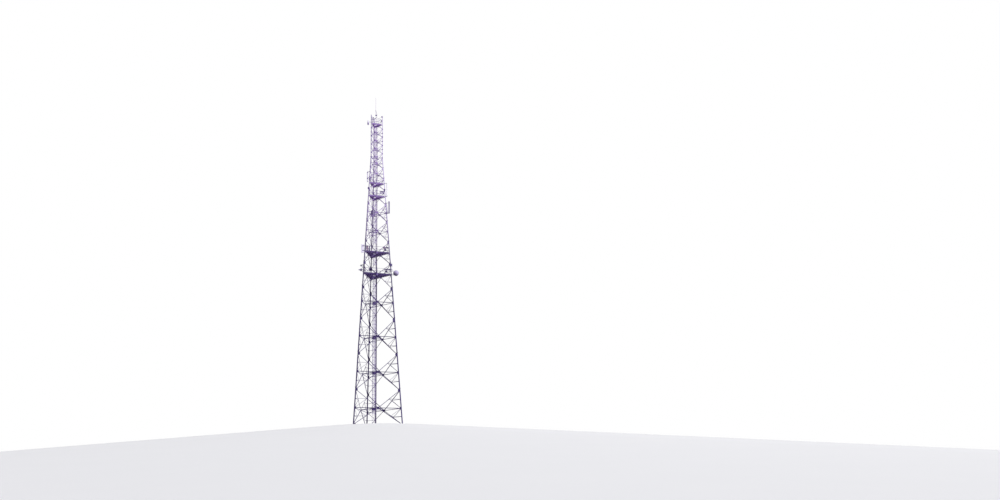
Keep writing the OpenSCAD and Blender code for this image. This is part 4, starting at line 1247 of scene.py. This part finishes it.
# Panels: leg, heights of the arms, foot and middle, way out from the leg, size, and straps as X and Z shares
# of the panel with their sizes
panels = {
    "left_panel": {"leg": 0, "arms": [aboveLevel(5), aboveLevel(5) + 480], "foot": aboveLevel(5) - 185,
                   "middle": aboveLevel(5) + 205, "out": 225, "way": leftWay, "turn": -20, "gap": 17,
                   "size": (260, 90, 780), "pipe": 18,
                   "straps": [(0.25, 0.2, (120, 30, 62)), (0.25, 0.78, (120, 30, 62)),
                              (-0.46, 0.5, (10, 8, 400))]},
    "upper_left_panel": {"leg": 0, "arms": [belowNode(9), aboveLevel(10)], "foot": belowNode(9) - 260,
                         "middle": belowNode(9) + 240, "out": 190, "way": leftWay, "turn": -35,
                         "size": (130, 60, 975.8),
                         "straps": [(0, 0.28, (104, 24, 90)), (0.1, 0.93, (120, 24, 50))]},
    "side_panel": {"leg": 1, "arms": [aboveLevel(7), aboveSplice(7)], "foot": aboveLevel(7) - 120,
                   "middle": aboveLevel(7) + 480, "out": 290, "way": rightWay, "turn": -20,
                   "size": (130, 60, 1190), "cover": "greyCover",
                   "straps": [(0.46, 0.02, (16, 12, 1120)), (0, 0.015, (100, 20, 40)),
                              (0, 0.95, (100, 20, 40))]},
    "high_panel": {"leg": 1, "arms": [aboveLevel(8), aboveLevel(9)], "foot": aboveLevel(8) + 50,
                   "middle": aboveLevel(8) + 650, "out": 180, "way": rightWay, "turn": 40,
                   "size": (130, 60, 1190), "straps": []},
    "rear_panel": {"leg": 2, "arms": [aboveLevel(7) + 60, belowNode(7)], "foot": aboveLevel(7),
                   "middle": aboveLevel(7) + 320, "out": 120, "way": outward(2), "turn": 0, "face": 1,
                   "size": (290, 70, 640), "cover": "greyCover", "straps": [(0, 0.5, (200, 20, 50))]},
}
panelBase = {"gap": 15, "face": -1, "pipe": 16, "cover": "paleCover", "bracket": 34, "shares": (0.1, 0.86),
             "capEdge": 20, "wide": 200}


def roundedBox(w, d, h, edge, face):
    outline, side = [], w / 2 - edge
    for cx, cy, start in ((side, edge, -90), (side, d - edge, 0), (-side, d - edge, 90), (-side, edge, 180)):
        for a in range(0, 91, 18):
            angle = math.radians(start + a)
            outline.append((cx + edge * math.cos(angle), face * (cy + edge * math.sin(angle))))
    return extrude(outline[::face], h)


def panelTrim(name, info):
    caps, steel, bolts = Builder(), Builder(), Builder()
    w, d, h = info["size"]
    face, gap, pipe, bracket = info["face"], info["gap"], info["pipe"], info["bracket"]
    xy = legXY(info["leg"], info["middle"]) + info["out"] * info["way"]
    place = over(xy, 0) @ turn(info["turn"]) @ move(0, face * gap, info["foot"])
    home = place.inverted()
    steelOutside(name + "_antenna", lambda p: abs((home @ p).x) < w / 2 + 1 and face * (home @ p).y > -0.5
                 and -1 < (home @ p).z < h + 1)
    for z, height in ((-7, 22), (h - 15, 24)):
        caps.add(roundedBox(w + 7, d + 5, height, info["capEdge"], face), place, 0, -face * 2.5, z)
    sockets = [x * w for x in ((-0.3, 0, 0.3) if w > info["wide"] else (-0.22, 0.22))]
    socket = lathe([(11, 0), (11, 5), (8, 6), (8, 20), (9.5, 21), (9.5, 34), (6, 38)], 16)
    steel.add(socket, place, sockets, face * d * 0.5, -7, turn(180, "X"))
    brackets = [h * share for share in info["shares"]]
    steel.add(block(w * 0.42, 6, bracket), place, 0, face, brackets)
    steel.add(block(2 * pipe + 34, 10, bracket), place, 0, -face * (gap * 2 + 8), brackets)
    rods, rodZ = (-pipe - 9, pipe + 9), [z + bracket / 2 for z in brackets]
    steel.add(pin(4, -2, 2 * gap + 24, 10), place, rods, 0, rodZ, turn(90 * face, "X"))
    bolts.add(hexNut(13, 8, 5), place, rods, 0, rodZ, turn(90 * face, "X") @ move(0, 0, 2 * gap + 13))
    for x, z, (bw, bd, bh) in info["straps"]:
        strap = place @ move(x * w, face * (d + bd / 2 - 1), z * h)
        steel.add(block(bw, bd, bh), strap)
        bolts.add(middleHead, strap, (12 - bw / 2, bw / 2 - 12), face * bd / 2, bh / 2, turn(-90 * face, "X"))
    armFlanges(steel, bolts, info["leg"], info["arms"], xy)
    caps.piece(name + "_caps", info["cover"])
    steel.piece(name + "_fittings", "armSteel")
    bolts.piece(name + "_bolts", "boltSteel")


cabinet = {"size": (130, 110, 470), "inset": 340, "hinges": (60, 235, 410), "louvres": 6, "louvrePitch": 14,
           "lamp": (110, 90, 100)}
railBox = {"size": (150, 100, 170), "along": 0.285, "drop": 0.7, "grip": 17}
cabinetXY = legXY(0, platformLevels[1]) - cabinet["inset"] * outward(0)


def boxTrim():
    shell, bolts = Builder(), Builder()
    w, d, h = cabinet["size"]
    place = over(cabinetXY, floorAt(1))
    shell.add(block(w + 16, d + 16, 6), place, z=h - 2)
    roof = extrude([(-w / 2 - 8, 0), (w / 2 + 8, 0), (0, 14)], d + 16)
    shell.add(roof, place, 0, d / 2 + 8, h + 4, turn(90, "X"))
    shell.add(block(w - 12, 5, h - 34), place, 0, -d / 2 - 1, 16)
    shell.add(pin(4.5, -16, 16, 12), place, -w / 2 + 5, -d / 2 - 4, cabinet["hinges"])
    louvres = [70 + j * cabinet["louvrePitch"] for j in range(cabinet["louvres"])]
    shell.add(block(w * 0.55, 5, 3), place, 0, -d / 2 - 5, louvres, turn(-25, "X"))
    bolts.add(block(10, 14, 52), place, w / 2 - 18, -d / 2 - 9, h * 0.5)
    bolts.add(lathe([(8, 0), (8, 5), (5, 7)], 16), place, w / 2 - 18, -d / 2 - 3, h * 0.5 - 16, turn(90, "X"))
    foot = w / 2 + 9
    shell.add(block(20, 40, 5), place, (-foot, foot), 0, -0.3)
    bolts.add(plateHead, place, (-foot * 1.03, foot * 1.03), 0, 4.7)
    w, d, h = railBox["size"]
    grip = onRail(1, railBox["along"] * sideAt(platformLevels[1]), mast["railHeight"])
    body = grip @ move(0, railBox["grip"] - 1 + d / 2, -h * railBox["drop"])
    shell.add(block(w + 8, d + 8, 12), body, z=h - 8)
    shell.add(block(w - 30, 4, h - 40), body, 0, d / 2 + 1, 20)
    bolts.add(lathe([(7, -24), (12, -22), (12, -10), (9, -9), (9, 0)], 14), body, (-40, 40))
    bolts.add(hexHead(9, 6), grip, (-18, 18), -railBox["grip"], (-10, 10), turn(90, "X"))
    shell.piece("equipment_box_covers", "cabinetPaint")
    bolts.piece("equipment_box_bolts", "boltSteel")


# Enclosure with a lid on its front (-Y), a rain cover, screws and cable glands
def gearBox(shell, bolts, place, w, d, h):
    shell.add(block(w, d, h), place)
    shell.add(block(w + 8, 8, h - 8), place, 0, -d / 2 - 3, 4)
    shell.add(block(w + 16, d + 20, 5), place, 0, -2, h + 1)
    bolts.add(smallHead, place, (-w / 2 + 13, w / 2 - 13), -d / 2 - 7, (16, h - 16), turn(90, "X"))
    gland = lathe([(5, -26), (6, -24), (9, -20), (9, -9), (7, -8), (7, 1)], 12)
    bolts.add(gland, place, (-w * 0.24, w * 0.24))


rod = {"reach": 250, "rise": 215, "x": 145, "foot": 355, "length": 1980, "grip": 230,
       "clamps": (19, 47, 109, 137)}
# Short arms at the tops of the front legs, each with a small fitting at its end
topArms = {
    0: [{"z": 30720, "reach": 190, "end": (50, 40, 90)}, {"z": 30530, "reach": 230, "end": (70, 50, 120)}],
    1: [{"z": 30920, "reach": 60, "end": (60, 70, 110)}, {"z": 30480, "reach": 90, "end": (70, 60, 130)}],
}
topArm = {"bar": (16, 26), "pad": (24, 60, 60), "padOut": 40, "padDrop": 17}
topDrum = {"out": 310, "lift": 180, "drop": 270, "radius": 78, "height": 400, "dark": 190}


def topFittings():
    steel, cover, base = Builder(), Builder(), Builder()
    for k in (0, 1):
        cap = lathe([(33, -14), (34, -12), (34, 0), (28, 6), (14, 10), (3, 11)], 32)
        steel.add(cap, over(legXY(k, legTop), legTop))
    place = over(legXY(2, legTop), legTop + 0.3) @ turn(math.degrees(math.atan2(rightWay.y, rightWay.x)))
    x, reach, foot = rod["x"], rod["reach"], rod["foot"]
    lift = foot + rod["grip"]
    for j in range(4):
        steel.add(hexHead(9, 6), place @ turn(90 * j + 45), 23, 0, 10)
    steel.add(ringBand(16.3, 22, 34, 24), place, reach, 0, rod["rise"] - 14)
    clamps = [foot + z for z in rod["clamps"]]
    steel.add(ringBand(12.2, 16.5, 9, 20), place, x, 0, clamps)
    steel.add(ringBand(16.3, 21, 9, 24), place, reach, 0, clamps)
    steel.add(lathe([(12.2, -4), (12.2, 0), (9.2, 16)], 20), place, x, 0, lift)
    steel.add(lathe([(9.3, -6), (9.3, 0), (5.5, 14), (1.2, 32)], 16), place, x, 0, foot + rod["length"])
    axis = (place @ Vector((x, 0, 0))).xy
    steelOutside("lightning_rod", lambda p: (p.xy - axis).length < 14 and p.z > legTop + lift)
    stay = [(reach, 0, lift - 92), (reach, 0, lift + 60), (x + 12, 0, lift + 330)]
    steel.add(sweep(stay, 15, 16), place)
    steel.add(block(52, 40, 90), place, x + 4, 0, lift + 300)
    steel.add(block(reach - x + 60, 46, 100), place, (reach + x) / 2, 0, foot + 25)
    lean = turn(math.degrees(math.atan2(reach, rod["rise"])), "Y")
    steel.add(block(46, 40, 190), place, reach * 0.22, 0, 14 + rod["rise"] * 0.22, lean)
    for k, sway in ((0, 1), (1, -1)):
        spot = over(legXY(k, legTop), 0)
        for arm in topArms[k]:
            length, z, legR = arm["reach"], arm["z"], legRadius[3]
            steel.add(block(length, *topArm["bar"]), spot, sway * (legR + length / 2), 0, z)
            steel.add(block(*topArm["pad"]), spot, sway * topArm["padOut"], 0, z - topArm["padDrop"])
            end = spot @ move(sway * (legR + length), 0, z - arm["end"][2] / 2)
            gearBox(steel, steel, end, *arm["end"])
    xy = legXY(0, topHeight) + topDrum["out"] * leftWay
    r, h, dark = topDrum["radius"], topDrum["height"], topDrum["dark"]
    steelOutside("top_drum", lambda p: (p.xy - xy).length < r + 1)
    can = over(xy, topHeight + topDrum["lift"] - topDrum["drop"])
    cover.add(lathe([(r - 2, h - 2), (r + 4, h), (r + 4, h + 10), (r * 0.8, h + 22), (r * 0.4, h + 30),
                     (5, h + 32)], 48), can)
    base.add(ringBand(r - 1, r + 2.5, dark, 48), can)
    steel.add(ringBand(r, r + 5, 8, 48), can, z=dark)
    for j in range(6):
        steel.add(middleHead, can @ turn(60 * j), r * 0.8, 0, 0, turn(180, "X"))
    steel.piece("top_fittings", "armSteel")
    cover.piece("top_drum_lid", "paleCover")
    base.piece("top_drum_base", "legSteel")


topBar = {"width": 20, "thick": 3, "drop": 70, "clamp": 30}


# Two slim bars join the rear leg's top to the front legs, held by clamps
def topFrame():
    builder = Builder()
    r, z = legRadius[3], legTop - topBar["drop"]
    bar = extrude(anglePoints(topBar["width"], topBar["thick"]), topSide - 2 * r - 8)
    for k in (1, 2):
        builder.add(bar, topFace(k) @ move(r + 4, z, 0) @ alongBar)
    for k in range(3):
        builder.add(ringBand(r + 0.3, r + 5, topBar["clamp"], 32), over(legXY(k, z), z - topBar["clamp"] / 2))
    builder.piece("top_frame", "braceSteel")


print("stage: equipment on legs and rails")
# Ways to the front and to the right as the camera sees them, for what hangs on the legs
ahead = Vector((camera["heading"][0] * -0.67, camera["heading"][1] * -1.05)).normalized()
right = Vector((-ahead.y, ahead.x))
# Boxes on legs: height of the foot, offset from the leg's axis to the right and to the front, and size
legBoxes = [
    {"leg": 2, "z": 15365, "offset": (-57, -135), "size": (290, 140, 240)},
    {"leg": 1, "z": 15262, "offset": (40, 137), "size": (190, 110, 230)},
    {"leg": 0, "z": 15290, "offset": (15, 118), "size": (150, 90, 230)},
    {"leg": 0, "z": 23000, "offset": (-42, 92), "size": (110, 80, 190)},
    {"leg": 1, "z": 23010, "offset": (-20, 92), "size": (100, 80, 150)},
    {"leg": 2, "z": 20800, "offset": (217, -40), "size": (170, 80, 640)},
]
legArm = {"width": 46, "height": 30, "shares": (0.16, 0.72), "rods": (-34, 34), "rod": 4}
# Bars near a leg: start and end as height and offset to the right and to the front, and radius
struts = [
    {"leg": 1, "ends": [(20640, 86, 22), (21590, 86, 22)], "radius": 20},
    {"leg": 1, "ends": [(20666, -270, 74), (20666, 275, 74)], "radius": 24},
    {"leg": 0, "ends": [(24290, -130, 64), (23930, 118, 64)], "radius": 20},
]
# Boxes on the front rails: platform, middle along the rail, height over the floor, and size
railBoxes = [
    {"platform": 0, "along": 913, "up": 215, "size": (160, 110, 150)},
    {"platform": 1, "along": 831, "up": 235, "size": (160, 130, 150)},
    {"platform": 1, "along": 1020, "up": 480, "size": (110, 90, 110)},
    {"platform": 1, "along": -753, "up": 20, "size": (90, 60, 520)},
    {"platform": 2, "along": 430, "up": 300, "size": (120, 80, 110)},
    {"platform": 2, "along": 660, "up": 320, "size": (110, 80, 110)},
    {"platform": 2, "along": -356, "up": 230, "size": (130, 90, 120)},
    {"platform": 3, "along": -560, "up": 430, "size": (90, 70, 110)},
]
railStrap = {"width": 16, "thick": 5, "side": 0.3, "low": 0.4, "tail": 30}
ducts = [{"platform": 0, "low": 740, "high": 1220, "up": 450},
         {"platform": 2, "low": 300, "high": 690, "up": 486}]
duct = {"depth": 45, "height": 62, "rib": 120}
aerial = {"platform": 3, "along": -560, "foot": 540, "length": 520, "radius": 16}
legCable = {"radius": 11, "pitch": 25, "back": -86, "low": 14150, "high": 15292, "clip": 280}


def legEquipment():
    shell, bolts, cables = Builder(), Builder(), Builder()
    for info in legBoxes:
        w, d, h = info["size"]
        leg, z = legXY(info["leg"], info["z"] + h / 2), info["z"]
        way = right * info["offset"][0] + ahead * info["offset"][1]
        place = over(leg, z) @ towards(way)
        gearBox(shell, bolts, place @ move(way.length, 0, 0) @ turn(90), w, d, h)
        near = radiusAt(z) - 8
        reach, arms = way.length - d / 2 + 2 - near, [h * share for share in legArm["shares"]]
        shell.add(block(reach, legArm["width"], legArm["height"]), place, near + reach / 2, 0, arms)
        arms = [z + legArm["height"] / 2 for z in arms]
        bolts.add(pin(legArm["rod"], 0, reach + 30, 8), place, near - 30, legArm["rods"], arms, turn(90, "Y"))
    for info in struts:
        ends = []
        for z, aside, front in info["ends"]:
            leg = legXY(info["leg"], z)
            spot = leg + right * aside + ahead * front
            ends.append((spot.x, spot.y, z))
            near = leg + (spot - leg).normalized() * (radiusAt(z) - 6)
            if abs(aside) < 120:
                shell.add(sweep([(near.x, near.y, z), ends[-1]], info["radius"] * 0.9, 12))
        shell.add(sweep(ends, info["radius"], 16))
    # feeders that climb the front left leg into its box
    low, high, back = legCable["low"], legCable["high"], legCable["back"]
    for i in range(3):
        ends = [over(legXY(0, z), z) @ Vector((legCable["pitch"] * (i - 0.5), back, 0)) for z in (low, high)]
        cables.add(sweep(ends, legCable["radius"], 14))
    z = low + 60
    while z < high - 60:
        spot = over(legXY(0, z), z - 12)
        shell.add(block(96, 8, 24), spot, 12, back - 15)
        shell.add(block(24, 34, 24), spot, 12, back + 28)
        z += legCable["clip"]
    shell.piece("leg_equipment", "armSteel")
    bolts.piece("leg_equipment_bolts", "boltSteel")
    cables.piece("leg_feeders", "cableSheath")


def railEquipment():
    shell, bolts, cover = Builder(), Builder(), Builder()
    rr, top = mast["railRadius"], mast["railHeight"]
    width, thick, tail = railStrap["width"], railStrap["thick"], railStrap["tail"]
    for info in railBoxes:
        w, d, h = info["size"]
        spot = onRail(info["platform"], info["along"], info["up"])
        gearBox(shell, bolts, spot @ move(0, rr + 8 + d / 2, 0) @ turn(180), w, d, h)
        # straps that hang the box on the top rail
        low, side = h * railStrap["low"], w * railStrap["side"]
        reach = max(top + rr + 3 - info["up"] - low, 20)
        shell.add(block(width, thick, reach), spot, (-side, side), rr + 4, low)
        shell.add(block(width, 2 * rr + 8, thick), spot, (-side, side), 2, low + reach - 4)
        shell.add(block(width, thick, tail), spot, (-side, side), -rr - 3, low + reach - 28)
    depth, height = duct["depth"], duct["height"]
    for info in ducts:
        length = info["high"] - info["low"]
        spot = onRail(info["platform"], (info["low"] + info["high"]) / 2, info["up"])
        inner = spot @ move(0, rr + 4 + depth / 2, 0)
        shell.add(block(length, depth, height), inner)
        shell.add(block(length + 12, depth + 10, 6), inner, z=height)
        count = int(length / duct["rib"])
        ribs = [10 - length / 2 + j * (length - 20) / count for j in range(count + 1)]
        shell.add(block(10, depth + 8, height + 8), inner, ribs, 0, -4)
    foot = onRail(aerial["platform"], aerial["along"], aerial["foot"]) @ move(0, 47, 0)
    r, h = aerial["radius"], aerial["length"]
    cover.add(lathe([(r, 40), (r, h - 12), (r * 0.7, h - 4), (r * 0.2, h)], 20), foot)
    shell.add(lathe([(r + 6, 0), (r + 6, 8), (r + 2, 12), (r + 2, 44)], 20), foot)
    # lamp on top of the second platform's cabinet
    gearBox(shell, bolts, over(cabinetXY, floorAt(1) + cabinet["size"][2] + 16), *cabinet["lamp"])
    shell.piece("rail_equipment", "armSteel")
    bolts.piece("rail_equipment_bolts", "boltSteel")
    cover.piece("rail_aerial", "paleCover")


legEquipment()
railEquipment()
drumTrim()
tubeTrim()
smallDishTrim()
for name, info in panels.items():
    panelTrim(name, {**panelBase, **info})
boxTrim()
topFittings()
topFrame()
